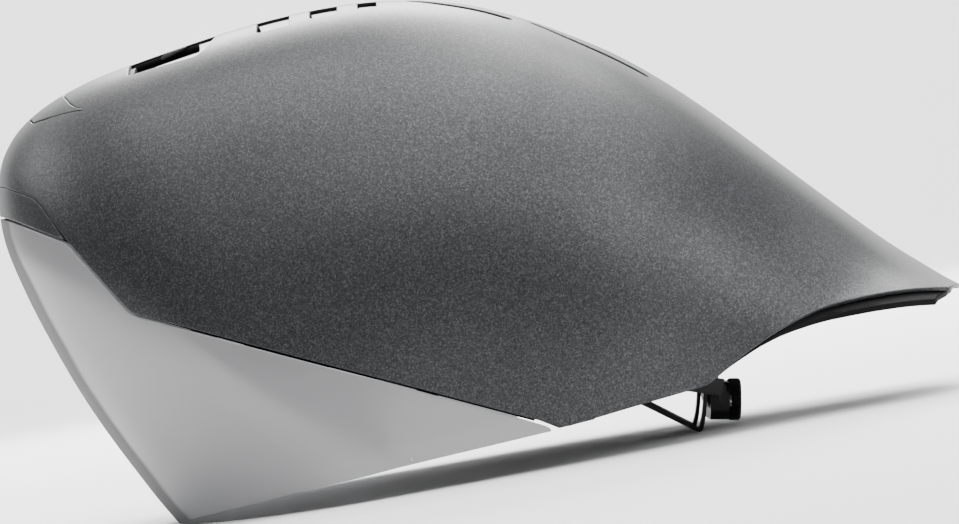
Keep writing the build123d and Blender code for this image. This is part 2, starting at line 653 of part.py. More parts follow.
BUCKLE = Plane(origin=(HEAD_O[0] - 15 * CT + BK_Z * ST, BK_Y, HEAD_O[1] + 15 * ST + BK_Z * CT),
               x_dir=(-math.sin(BK_A) * ST, math.cos(BK_A), -math.sin(BK_A) * CT),
               z_dir=(math.cos(BK_A) * ST, math.sin(BK_A), math.cos(BK_A) * CT))
with BuildPart() as buckle_female:
    with BuildSketch(BUCKLE.offset(-3.5)):
        with Locations((-11, 0)):
            RectangleRounded(22, 22, 2.5)
    extrude(amount=7)
    with BuildSketch(BUCKLE.offset(-2.2)):
        with Locations((-7.5, 0)):
            Rectangle(15, 17.6)
    extrude(amount=4.4, mode=Mode.SUBTRACT)
    with BuildSketch(BUCKLE.offset(-2.2)):
        with Locations((-9, 0)):
            Rectangle(7, 24)
    extrude(amount=4.4, mode=Mode.SUBTRACT)
    with BuildSketch(BUCKLE.offset(-4)):
        with Locations((-18.6, 0)):
            Rectangle(2.2, 16)
    extrude(amount=8, mode=Mode.SUBTRACT)
with BuildPart() as buckle_male:
    with BuildSketch(BUCKLE.offset(-2.8)):
        with Locations((9.2, 0)):
            RectangleRounded(17.8, 21, 2.5)
    extrude(amount=5.6)
    with BuildSketch(BUCKLE.offset(-1.8)):
        with Locations((-5.6, 0)):
            Rectangle(13.2, 2.6)
        with Locations((-5.6, -6.4), (-5.6, 6.4)):
            Rectangle(13.2, 2.6)
        with Locations((-9.2, -7.7), (-9.2, 7.7)):
            Rectangle(5.4, 2.0)
    extrude(amount=3.6)
    with BuildSketch(BUCKLE.offset(-4)):
        with Locations((14.6, 0)):
            Rectangle(2.2, 16)
    extrude(amount=8, mode=Mode.SUBTRACT)

# strap anchors: round caps over each web's lower end
with BuildPart() as strap_anchors:
    add(cavity(1.65))
    add(cavity(3.3), mode=Mode.SUBTRACT)
    with BuildSketch(Plane.XZ.offset(-130)):
        with Locations(*[hrow(x + 3.0, z + 3.2) for x, z in (FRONT_A,)], *[hrow(x - 3.0, z + 3.2) for x, z in (REAR_A,)]):
            Circle(5.5)
    extrude(amount=260, mode=Mode.INTERSECT)

# ------------------------------------------------------------------ fit system: track and carriage in the liner's rear, swinging stem, cradle
with BuildPart() as height_track:
    with BuildSketch(Plane.XZ):
        Polygon(side(660, 320), side(684, 320), side(684, 388), side(660, 388), align=None)
    extrude(amount=13.5, both=True)
    with BuildSketch(Plane.XZ):
        Polygon(side(657, 324.6), side(687, 324.6), side(687, 392), side(657, 392), align=None)
    extrude(amount=9.2, both=True, mode=Mode.SUBTRACT)
    with BuildSketch(Plane.XZ):
        Polygon(side(669, 324.6), side(675, 324.6), side(675, 384), side(669, 384), align=None)
    extrude(amount=11.2, both=True, mode=Mode.SUBTRACT)

HX, HZ = HINGE
with BuildPart() as height_carriage:
    with BuildSketch(Plane.XZ):
        Polygon(side(662.5, 325.6), side(681.5, 325.6), side(681.5, 345), side(662.5, 345), align=None)
    extrude(amount=8.9, both=True)
    with BuildSketch(Plane.XZ):
        Polygon(side(669.8, 327), side(674.2, 327), side(674.2, 343.5), side(669.8, 343.5), align=None)
    extrude(amount=10.9, both=True)
    with BuildSketch(Plane.XZ):
        Polygon(side(655, 328.5), side(690, 328.5), side(690, 350), side(655, 350), align=None)
    extrude(amount=6.2, both=True, mode=Mode.SUBTRACT)
    with BuildSketch(Plane.XZ):
        with Locations((HX, HZ)):
            Circle(1.22)
    extrude(amount=20, both=True, mode=Mode.SUBTRACT)
with BuildPart() as hinge_pin:
    with BuildSketch(Plane.XZ):
        with Locations((HX, HZ)):
            Circle(1.2)
    extrude(amount=8.8, both=True)

DIAL_O = side(727, 399)
DIALP = Plane(origin=(DIAL_O[0], 0, DIAL_O[1]), x_dir=(0, 1, 0), z_dir=AFT)   # local y is the drawing's up
STEM_LINE = [HINGE, side(690, 363), side(704, 376.9), side(718, 376.9)]
with BuildPart() as stem:
    with BuildSketch(Plane.XZ):
        with Locations(HINGE):
            Circle(2.3)
        Polygon(*ribbon(STEM_LINE, 2.4), align=None)
    extrude(amount=5.9, both=True)
    with BuildSketch(Plane.XZ):
        with Locations((HX, HZ)):
            Circle(1.25)
    extrude(amount=20, both=True, mode=Mode.SUBTRACT)

HOUSE_W, HOUSE_H = 50.0, 13.4
with BuildPart() as cradle_housing:
    with BuildSketch(DIALP.offset(-7.0)):
        RectangleRounded(HOUSE_W, HOUSE_H, 4.0)
    extrude(amount=5.5)
    with BuildSketch(DIALP.offset(-5.0)):
        RectangleRounded(HOUSE_W - 3, 12.1, 2.0)
    extrude(amount=5, mode=Mode.SUBTRACT)
    with BuildSketch(DIALP.offset(-5.0)):
        with Locations((-18, 5.35), (18, -5.35)):
            Rectangle(20, 1.5)
    extrude(amount=3.3, mode=Mode.SUBTRACT)
    with BuildSketch(DIALP.offset(-6.2)):
        Circle(1.55)
    extrude(amount=3, mode=Mode.SUBTRACT)
with BuildPart() as housing_cover:
    with BuildSketch(DIALP.offset(-1.5)):
        RectangleRounded(HOUSE_W, HOUSE_H, 4.0)
        Circle(1.55, mode=Mode.SUBTRACT)
        with Locations((-21, 0), (21, 0)):
            Circle(1.0, mode=Mode.SUBTRACT)
    extrude(amount=1.3)
with BuildPart() as cover_screws:
    with BuildSketch(DIALP.offset(-1.5)):
        with Locations((-21, 0), (21, 0)):
            Circle(0.98)
    extrude(amount=1.3)
    with BuildSketch(DIALP.offset(-0.2)):
        with Locations((-21, 0), (21, 0)):
            Circle(1.9)
            RegularPolygon(0.8, 6, mode=Mode.SUBTRACT)
    extrude(amount=0.8)


def gear_outline():
    pts = []
    for k in range(PINION_N):
        a = 2 * math.pi * k / PINION_N + math.pi / 2
        for r, w in ((3.1, 1.3), (4.0, 0.9), (4.55, 0.5)):
            pts.append((r, a - w / 2 / r))
        for r, w in ((4.55, 0.5), (4.0, 0.9), (3.1, 1.3)):
            pts.append((r, a + w / 2 / r))
    return [(r * math.cos(a), r * math.sin(a)) for r, a in pts]


with BuildPart() as pinion:
    with BuildSketch(DIALP.offset(-4.7)):
        Polygon(*gear_outline(), align=None)
        Circle(1.48, mode=Mode.SUBTRACT)
    extrude(amount=2.9)
with BuildPart() as dial_spindle:
    with BuildSketch(DIALP.offset(-6.0)):
        Circle(1.48)
    extrude(amount=9.0)
with BuildPart() as fit_dial:
    with BuildSketch(DIALP.offset(0.1)):
        Circle(DIAL_R)
        with PolarLocations(DIAL_R + 0.35, 22):
            Circle(0.75, mode=Mode.SUBTRACT)
    extrude(amount=5.0)
    with BuildSketch(DIALP.offset(-0.2)):
        Circle(2.6)
    extrude(amount=0.3)
    with BuildSketch(DIALP.offset(-1)):
        Circle(1.48)
    extrude(amount=4.0, mode=Mode.SUBTRACT)
    with BuildSketch(DIALP.offset(3.9)):
        Circle(5.6)
    extrude(amount=2, mode=Mode.SUBTRACT)

PITCH = 2 * math.pi * PINION_R / PINION_N


def rack_outline(s, y_from, y_to, y_out):
    """rack above the pinion for s = 1, below for s = -1; gaps centred on y = 0"""
    pts = [(y_from, s * 5.9), (y_from, s * 4.8)]
    n0 = math.ceil((y_from - 0.5 * PITCH) / PITCH)
    n1 = math.floor((y_to - 0.5 * PITCH) / PITCH)
    for k in range(n0, n1 + 1):
        c = (k + 0.5) * PITCH
        pts += [(c - 0.68, s * 4.8), (c - 0.45, s * 4.0), (c - 0.25, s * 3.45), (c + 0.25, s * 3.45), (c + 0.45, s * 4.0), (c + 0.68, s * 4.8)]
    pts += [(y_out - 1.6, s * 4.8), (y_out - 1.6, -s * (0.0 if s > 0 else 5.9)), (y_out, -s * (0.0 if s > 0 else 5.9)), (y_out, s * 5.9)]
    return pts


with BuildPart() as rack_left:
    with BuildSketch(DIALP.offset(-4.6)):
        Polygon(*[(-y, z) for y, z in rack_outline(1, -8.3, 16.5, 33.0)], align=None)
    extrude(amount=2.6)
with BuildPart() as rack_right:
    with BuildSketch(DIALP.offset(-4.6)):
        Polygon(*rack_outline(-1, -8.3, 16.5, 33.0), align=None)
    extrude(amount=2.6)

# cradle: bent plate, two arms under the nape joined to the housing's front
ARMS = [(41.0, 18.2), (65.6, 1.25), (66.5, 0.75), (67.3, 1.4), (70.8, 6.4), (72.4, 15.3)]
with BuildPart() as cradle:
    with BuildSketch(Plane.XZ):
        Polygon(*ribbon(ARMS, 1.6), align=None)
    extrude(amount=33, both=True)
    with BuildSketch(Plane.XY):
        with Locations((50, 0)):
            Rectangle(29, 40)
    extrude(amount=40, mode=Mode.SUBTRACT)
    with BuildSketch(Plane.XY.offset(-5)):
        with Locations((66, 0)):
            RectangleRounded(20, 34, 3)
    extrude(amount=12.5, mode=Mode.SUBTRACT)
    with BuildSketch(Plane.YZ.offset(68)):
        with Locations((-32, 16), (32, 16)):
            Rectangle(16, 14)
    extrude(amount=10, mode=Mode.SUBTRACT)

# belts from the rack ends forward along the wall to the temples
BELT_P0, BELT_P1 = (86.1, -44.3), (-76.0, -24.0)
_l = math.hypot(BELT_P1[0] - BELT_P0[0], BELT_P1[1] - BELT_P0[1])
_bd = ((BELT_P1[0] - BELT_P0[0]) / _l, (BELT_P1[1] - BELT_P0[1]) / _l)


def turn(x0, z0):
    return x0 * CT + z0 * ST, 0, -x0 * ST + z0 * CT


_bo = to_row(*BELT_P0)
BELT = Plane(origin=(_bo[0], 0, _bo[1]), x_dir=turn(*_bd), z_dir=turn(-_bd[1], _bd[0]) if _bd[0] > 0 else turn(_bd[1], -_bd[0]))


def wall_y(x0, d):
    z0 = BELT_P0[1] + (x0 - BELT_P0[0]) * _bd[1] / _bd[0]
    f = 1 - 0.0005 * (z0 - CAV_Z) if z0 < CAV_Z else 1.0
    return CAV_B * f * math.sqrt(max(0.0, 1 - ((x0 - CAV_X) / CAV_A / f) ** 2)) - d


BELT_PATH = [(86.1, 34.0), (78.0, 36.5), (66.0, 37.6), (54.0, 35.6), (45.0, 34.4)] + [(x, wall_y(x, 3.1)) for x in (30, 15, 0, -15, -30, -45, -60, -76)]
_ly = BELT.y_dir.Y


def belt(s):
    fine = spline(range(len(BELT_PATH)), BELT_PATH, np.linspace(0, len(BELT_PATH) - 1, 49))
    pts = [((x - BELT_P0[0]) / _bd[0], _ly * s * y) for x, y in fine]
    with BuildPart() as b:
        with BuildSketch(BELT.offset(-3)):
            Polygon(*ribbon(pts, 1.2), align=None)
        extrude(amount=6)
    return b.part


with BuildPart() as fit_belt_left:
    add(belt(-1))
with BuildPart() as fit_belt_right:
    add(belt(1))
with BuildPart() as temple_anchors:
    add(cavity(0.35))
    add(cavity(2.3), mode=Mode.SUBTRACT)
    with BuildSketch(Plane.XZ.offset(-130)):
        with Locations(to_row(-72.0, -24.6)):
            Circle(4.8)
    extrude(amount=260, mode=Mode.INTERSECT)


# ------------------------------------------------------------------ named pieces
NAMES = ["outer_shell", "forehead_insert", "brow_panel", "tail_trim", "eps_liner", "vent_spine", "front_scoop", "magnet_keepers",
         "shield_lens", "shield_tabs", "shield_magnets", "brow_pad", "crown_pads", "side_pads",
         "front_strap_left", "front_strap_right", "rear_strap_left", "rear_strap_right", "strap_divider_left", "strap_divider_right",
         "chin_strap_left", "chin_strap_right", "buckle_female", "buckle_male", "strap_anchors", "temple_anchors",
         "fit_belt_left", "fit_belt_right", "height_track", "height_carriage", "hinge_pin", "stem", "cradle", "cradle_housing",
         "housing_cover", "cover_screws", "fit_dial", "dial_spindle", "pinion", "rack_left", "rack_right"]
for name in NAMES:
    piece = globals()[name].part
    piece.label = name
    export_step(piece, "parts/" + name + ".step")
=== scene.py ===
import math
import random
import bpy
import bmesh
import numpy as np
from mathutils import Vector, Matrix
from mathutils.geometry import delaunay_2d_cdt


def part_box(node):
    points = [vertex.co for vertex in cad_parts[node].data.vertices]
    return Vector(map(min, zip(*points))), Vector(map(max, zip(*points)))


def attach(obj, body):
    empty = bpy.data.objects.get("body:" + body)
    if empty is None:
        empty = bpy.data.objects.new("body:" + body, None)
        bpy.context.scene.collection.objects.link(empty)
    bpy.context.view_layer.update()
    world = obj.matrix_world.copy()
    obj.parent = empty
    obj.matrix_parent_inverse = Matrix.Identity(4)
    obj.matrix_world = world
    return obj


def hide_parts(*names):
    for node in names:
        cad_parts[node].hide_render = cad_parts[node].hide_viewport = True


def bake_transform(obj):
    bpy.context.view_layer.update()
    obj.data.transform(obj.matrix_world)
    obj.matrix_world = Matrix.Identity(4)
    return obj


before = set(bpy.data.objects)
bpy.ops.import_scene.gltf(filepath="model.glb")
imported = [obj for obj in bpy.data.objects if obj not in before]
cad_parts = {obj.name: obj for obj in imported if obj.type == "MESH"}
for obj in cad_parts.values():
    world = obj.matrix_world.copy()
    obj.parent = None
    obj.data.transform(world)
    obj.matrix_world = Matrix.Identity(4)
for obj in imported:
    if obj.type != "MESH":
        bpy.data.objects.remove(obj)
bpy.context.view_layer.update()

# ------------------------------------------------------------------ the helmet's outside, in millimetres
S = 0.362
CX, CY = 480.0, 262.0
TILT = math.radians(10.17)
FLOOR = -73.6
VIEW_D = 1600.0
CT, ST = math.cos(TILT), math.sin(TILT)


def to_row(x0, z0):
    return x0 * CT + z0 * ST, -x0 * ST + z0 * CT - FLOOR


def side(px, py, y=0.0):
    k = S * (VIEW_D - abs(y)) / VIEW_D
    return to_row((px - CX) * k, (CY - py) * k)


def curvature(xs, n):
    h = np.diff(xs)
    A = np.zeros((n, n))
    B = np.zeros((n, n))
    A[0, 0] = A[-1, -1] = 1
    for i in range(1, n - 1):
        A[i, i - 1], A[i, i], A[i, i + 1] = h[i - 1], 2 * (h[i - 1] + h[i]), h[i]
        B[i, i - 1], B[i, i], B[i, i + 1] = 6 / h[i - 1], -6 / h[i - 1] - 6 / h[i], 6 / h[i]
    return np.linalg.solve(A, B)


def spline(xs, ys, xq):
    """natural cubic spline"""
    xs = np.asarray(xs, float)
    ys = np.asarray(ys, float)
    n = len(xs)
    y2 = ys.reshape(n, -1)
    M = curvature(xs, n) @ y2
    xq = np.atleast_1d(np.asarray(xq, float))
    h = np.diff(xs)
    k = np.clip(np.searchsorted(xs, xq) - 1, 0, n - 2)
    d, e, hk = (xq - xs[k])[:, None], (xs[k + 1] - xq)[:, None], h[k][:, None]
    out = (M[k] * e**3 + M[k + 1] * d**3) / (6 * hk) + (y2[k] / hk - M[k] * hk / 6) * e + (y2[k + 1] / hk - M[k + 1] * hk / 6) * d
    return out.reshape((len(xq),) + ys.shape[1:])


CROWN = [(222, 571), (200, 545), (180, 522), (161, 500), (136, 468), (112, 436), (90, 404), (70, 372), (52, 340), (35, 308), (20, 276),
         (8, 246), (2.5, 222), (0.5, 200), (0.8, 180), (3.5, 163), (9.5, 148), (18, 134), (34, 117), (50, 104.5), (66, 94.5),
         (98, 78.5), (130, 66), (178, 49), (226, 33), (274, 19.5), (322, 9), (370, 2.3), (402, 0.8), (434, 1.8), (466, 5), (498, 12),
         (530, 21), (562, 32.5), (594, 45), (626, 60), (658, 78), (690, 98.3), (722, 120.5), (754, 144), (802, 179.7), (850, 215),
         (898, 248.5), (930, 268.5), (957, 285.5), (984, 302.5), (1004, 315)]
QX, QZ = side(480, 560)
_p = sorted((math.atan2(z - QZ, x - QX), math.hypot(x - QX, z - QZ)) for x, z in (side(*c) for c in CROWN))
CROWN_A = np.array([a for a, r in _p])
CROWN_R = np.array([r for a, r in _p])
K = 13
V = np.linspace(0, 1, K)


def reach(deg):
    return float(spline(CROWN_A, CROWN_R, math.radians(deg) - TILT)[0])


def dome(deg, A, B, T, n=2.0, tuck=0.0):
    T = min(T, reach(deg) - 32)
    t = T * V * V
    y = B * (1 - (np.clip(A - t, 0, None) / A) ** n) ** (1 / n)
    return deg, T, np.where(t < A, y, B - tuck * ((t - A) / 20.0) ** 2)


def table(deg, T, ts, ys):
    return deg, T, spline(np.sqrt(ts), ys, np.sqrt(T * V * V))


SECTIONS = [
    table(26.5, 30, [0, 0.5, 1.5, 4, 8, 14, 20, 30], [0, 30, 52, 64.5, 68.5, 72, 75, 79]),
    table(29.9, 30, [0, 0.5, 1.5, 4, 8, 14, 20, 30], [0, 30, 52, 64.5, 68.5, 72, 75, 79]),
    table(31.5, 34, [0, 0.8, 2.5, 6, 11, 18, 25, 34], [0, 25, 44, 58.5, 66, 72, 76.5, 81]),
    table(33.5, 45, [0, 1.5, 5, 10, 16, 23, 32, 45], [0, 26, 44.5, 57, 65.5, 72, 78, 84]),
    table(37.0, 80, [0, 3, 8, 16, 27, 40, 54, 80], [0, 26.5, 42, 55.5, 66, 74, 80, 87]),
    table(42.0, 105, [0, 4, 10, 20, 35, 52, 70, 105], [0, 27, 42, 56.5, 69.5, 79, 85.5, 93]),
    dome(50.0, 110, 96, 130, 2.03),
    dome(60.0, 104, 99.5, 140, 2.03),
    dome(75.0, 107, 101.5, 165, 2.05, 0.2),
    dome(90.0, 117, 102, 175, 2.06, 0.2),
    dome(107.0, 130, 102, 180, 2.06, 0.2),
    dome(123.0, 153, 102, 190, 2.04, 0.2),
    dome(137.0, 182, 102, 200),
    dome(150.0, 186, 101, 190),
    dome(163.0, 165, 99, 160),
    dome(176.0, 143, 97, 130),
    dome(181.0, 137, 96, 122),
]
SEC_A = np.array([math.radians(s[0]) - TILT for s in SECTIONS])
SEC_T = np.array([s[1] for s in SECTIONS])
SEC_Y = np.array([s[2] for s in SECTIONS])
CUR = curvature(V, K)
# fan tables on a fine grid of angles, so that single points are quick to work out
GA = np.linspace(SEC_A[0], SEC_A[-1], 3001)
G_T, G_R, G_Y = spline(SEC_A, SEC_T, GA), spline(CROWN_A, CROWN_R, GA), spline(SEC_A, SEC_Y, GA)
G_M = G_Y @ CUR.T


def fan(a, tab):
    u = (np.asarray(a, float) - GA[0]) / (GA[1] - GA[0])
    i = np.clip(u.astype(int), 0, len(GA) - 2)
    f = u - i
    return tab[i] * (1 - f) + tab[i + 1] * f if tab.ndim == 1 else tab[i] * (1 - f)[:, None] + tab[i + 1] * f[:, None]


def skin_raw(a, v):
    a, v = np.asarray(a, float), np.asarray(v, float)
    T, R, Y, M = fan(a, G_T), fan(a, G_R), fan(a, G_Y), fan(a, G_M)
    w = np.clip(np.abs(v), 0, 1)
    k = np.clip((w * (K - 1)).astype(int), 0, K - 2)
    h = 1.0 / (K - 1)
    d, e = w - k * h, (k + 1) * h - w
    ii = np.arange(len(w))
    y = (M[ii, k] * e**3 + M[ii, k + 1] * d**3) / (6 * h) + (Y[ii, k] / h - M[ii, k] * h / 6) * e + (Y[ii, k + 1] / h - M[ii, k + 1] * h / 6) * d
    r = R - T * w * w
    return np.stack([QX + r * np.cos(a), np.sign(v) * y, QZ + r * np.sin(a)], -1)


def skin(a, v, depth=0.0):
    """points of the outside at fan angle a and section parameter v (left side negative), moved inwards by depth; and the outward normals"""
    a, v = np.atleast_1d(np.asarray(a, float)), np.atleast_1d(np.asarray(v, float))
    e = 1.5e-3
    pa = skin_raw(a + e, v) - skin_raw(a - e, v)
    v1, v0 = np.clip(v + e, -1, 1), np.clip(v - e, -1, 1)
    pv = skin_raw(a, v1) - skin_raw(a, v0)
    n = np.cross(pv, pa)
    n /= np.linalg.norm(n, axis=-1, keepdims=True)
    out = np.stack([np.cos(a), np.zeros_like(a), np.sin(a)], -1) * 0.6
    out[:, 1] += np.sign(v) * np.minimum(1, np.abs(v) * 1.5)
    n *= np.sign((n * out).sum(-1))[:, None]
    p = skin_raw(a, v)
    return p - n * np.reshape(depth, (-1, 1)), n


def from_side(pts, sgn):
    """side-view points (X, Z) to (a, v) on one side"""
    p = np.asarray(pts, float)
    a = np.arctan2(p[:, 1] - QZ, p[:, 0] - QX)
    r = np.hypot(p[:, 1] - QZ, p[:, 0] - QX)
    t = fan(a, G_R) - r
    return np.stack([a, sgn * np.sqrt(np.clip(t / fan(a, G_T), 0, 1))], -1), t


def from_plan(pts):
    """plan-view points (X, Y) to (a, v)"""
    p = np.asarray(pts, float)
    sg = np.where(p[:, 1] < 0, -1.0, 1.0)
    ys = np.abs(p[:, 1])
    # start from a coarse table
    ga = np.linspace(SEC_A[0], math.radians(149) - TILT, 150)
    gv = np.linspace(0, 0.75, 60)
    A, W = np.meshgrid(ga, gv, indexing="ij")
    q = skin_raw(A.ravel(), W.ravel())
    out = []
    for x, y in zip(p[:, 0], ys):
        i = np.argmin((q[:, 0] - x) ** 2 + (q[:, 1] - y) ** 2)
        a, w = A.ravel()[i], W.ravel()[i]
        for _ in range(12):
            f = skin_raw([a, a + 1e-4, a], [w, w, w + 1e-4])[:, :2]
            J = np.stack([(f[1] - f[0]) / 1e-4, (f[2] - f[0]) / 1e-4], -1)
            try:
                d = np.linalg.solve(J, np.array([x, y]) - f[0])
            except np.linalg.LinAlgError:
                break
            a, w = a + np.clip(d[0], -0.05, 0.05), abs(w + np.clip(d[1], -0.05, 0.05))
        out.append((a, w))
    out = np.array(out)
    out[:, 1] *= sg
    return out


# ------------------------------------------------------------------ seam and rim lines, side view (X, Z), as the pieces are cut
SEAM = 0.8
BROW_TOP = [(-180, 132.0), (-163.0, 130.3), (-159.8, 128.6), (-150.7, 123.8), (-148.3, 121.0), (-140.2, 106.3)]
LENS_TOP = [(-180, 122.0), (-167.5, 120.4), (-160.9, 117.6), (-153.7, 113.7), (-140.2, 106.0)]
DIAGONAL = [(-130.7, 91.6), (-121.4, 77.5), (-98.3, 67.3), (-65.9, 52.5), (-34.0, 37.9), (-2.2, 23.0), (17.4, 13.9)]
RIM = [(19.6, 13.25), (45.0, 15.9), (64.0, 17.7), (68.2, 18.1), (70.8, 18.9), (74.0, 20.8), (78.8, 23.7), (83.5, 26.0), (87.8, 28.0),
       (94.4, 31.1), (99.1, 32.9), (103.7, 34.5), (108.3, 35.8), (112.8, 36.9), (117.3, 37.6), (123.2, 38.1), (130.4, 38.4), (139.0, 38.4),
       (147.6, 37.9), (156.2, 36.7), (159.8, 36.2), (161.5, 33.5), (185, 30)]
LENS_LOW = [(11.8, 12.65), (-4.1, 11.75), (-39.0, 9.8), (-74.5, 6.9), (-93.1, 4.9), (-117.2, 1.8), (-122.8, 0.0), (-180, 0.0)]
TAIL_PLAN = [(150, 130), (155.5, 66), (161.0, 57.5), (164.6, 45), (167.2, 26), (168.2, 10), (168.2, -10), (167.2, -26), (164.6, -45),
             (161.0, -57.5), (155.5, -66), (150, -130)]
SCOOP = [(-111.6, -26.5), (-99.7, -28.8), (-89.0, -31.2), (-86.0, -31.6), (-82.6, -27.6), (-79.9, -17.0), (-77.6, 0.0),
         (-79.9, 17.0), (-82.6, 27.6), (-86.0, 31.6), (-89.0, 31.2), (-99.7, 28.8), (-111.6, 26.5)]
WINDOWS = [(-63.7, -51.8, 29.2), (-44.3, -34.3, 27.6), (-26.9, -20.1, 25.6)]
SLOT1 = [(-7.0, 12.6), (6.4, 19.7), (17.0, 21.3), (24.7, 22.4)]
SLOT2 = [(34.5, 17.4), (52.1, 23.6), (69.5, 23.6)]
BAT = [(-151.9, 0.0), (-151.9, 1.9), (-148.6, 20.0), (-143.6, 25.7), (-137.6, 30.2), (-128.0, 36.8), (-131.8, 31.0), (-133.7, 26.0),
       (-136.0, 15.0), (-137.0, 0.0)]
BAT = BAT + [(x, -y) for x, y in BAT[-2:0:-1]]
BAT_IN = [(x + (0.35 if x < -140 else -0.35), y * 0.985) for x, y in BAT]


def shifted(pts, d):
    p = np.array(pts, float)
    t = np.gradient(p, axis=0)
    t /= np.linalg.norm(t, axis=1, keepdims=True)
    return [tuple(v) for v in p + d * np.stack([-t[:, 1], t[:, 0]], 1)]


def path(pts, radii=3.0, step=0.8, closed=False):
    """polyline with its corners rounded; radii is one number or one per point"""
    p = np.array(pts, float)
    n = len(p)
    radii = [radii] * n if np.isscalar(radii) else list(radii)
    out = []
    for i in range(n):
        if not closed and i in (0, n - 1):
            out.append(p[i])
            continue
        a, b, c = p[i - 1], p[i], p[(i + 1) % n]
        la, lc = np.linalg.norm(a - b), np.linalg.norm(c - b)
        d = min(radii[i], 0.5 * la, 0.5 * lc)
        s, e = b + (a - b) / la * d, b + (c - b) / lc * d
        m = max(2, int(d * 2 / step) + 1)
        for k in range(m + 1):
            t = k / m
            out.append((1 - t) ** 2 * s + 2 * t * (1 - t) * b + t * t * e)
    if closed:
        out.append(out[0])
    res = [out[0]]
    for q in out[1:]:
        seg = q - res[-1]
        l = np.linalg.norm(seg)
        if l < 1e-6:
            continue
        m = max(1, int(math.ceil(l / step)))
        base = res[-1]
        res += [base + seg * k / m for k in range(1, m + 1)]
    if closed:
        res = res[:-1]
    return np.array(res)


# arc length across a typical section, so that a mesh laid out in (a, v) is even on the surface
_v = np.linspace(0, 1, 400)
_q = skin_raw(np.full(400, math.radians(107) - TILT), _v)
_l = np.concatenate([[0], np.cumsum(np.linalg.norm(np.diff(_q, axis=0), axis=1))])


def flat(av):
    av = np.asarray(av, float)
    return np.stack([av[:, 0] * 185.0, np.sign(av[:, 1]) * np.interp(np.abs(av[:, 1]), _v, _l)], -1)


def unflat(uv):
    return np.stack([uv[:, 0] / 185.0, np.sign(uv[:, 1]) * np.interp(np.abs(uv[:, 1]), _l, _v)], -1)


def inside(pts, poly):
    x, y = pts[:, 0], pts[:, 1]
    res = np.zeros(len(pts), bool)
    j = len(poly) - 1
    for i in range(len(poly)):
        xi, yi, xj, yj = poly[i, 0], poly[i, 1], poly[j, 0], poly[j, 1]
        if yi != yj:
            hit = ((yi > y) != (yj > y)) & (x < (xj - xi) * (y - yi) / (yj - yi) + xi)
            res ^= hit
        j = i
    return res


def respace(loop3, loop2, step):
    """same closed line with points about step apart in space, corners kept"""
    n = len(loop3)
    d = np.roll(loop3, -1, 0) - loop3
    l = np.linalg.norm(d, axis=1)
    keep = l > 1e-4
    loop3, loop2 = loop3[keep], loop2[keep]
    n = len(loop3)
    d = np.roll(loop3, -1, 0) - loop3
    l = np.linalg.norm(d, axis=1)
    t = d / l[:, None]
    turn = np.degrees(np.arccos(np.clip((t * np.roll(t, 1, 0)).sum(-1), -1, 1)))
    corner = [i for i in range(n) if turn[i] > 24]
    if not corner:
        corner = [0]
    s = np.concatenate([[0], np.cumsum(l)])
    ext2 = np.vstack([loop2, loop2[:1]])
    out = []
    for a, b in zip(corner, corner[1:] + [corner[0] + n]):
        sa, sb = s[a], (s[b] if b <= n else s[b - n] + s[-1])
        m = max(1, int(round((sb - sa) / step)))
        for k in range(m):
            q = (sa + (sb - sa) * k / m) % s[-1]
            out.append([np.interp(q, s, ext2[:, 0]), np.interp(q, s, ext2[:, 1])])
    return np.array(out)


def mesh_object(name, verts, faces, mats=None, smooth=True):
    me = bpy.data.meshes.new(name)
    me.from_pydata([tuple(v) for v in verts], [], [tuple(f) for f in faces])
    me.validate(clean_customdata=False)
    me.update()
    if smooth:
        me.polygons.foreach_set("use_smooth", [True] * len(me.polygons))
    ob = bpy.data.objects.new(name, me)
    bpy.context.scene.collection.objects.link(ob)
    for m in (mats or []):
        me.materials.append(m)
    return ob


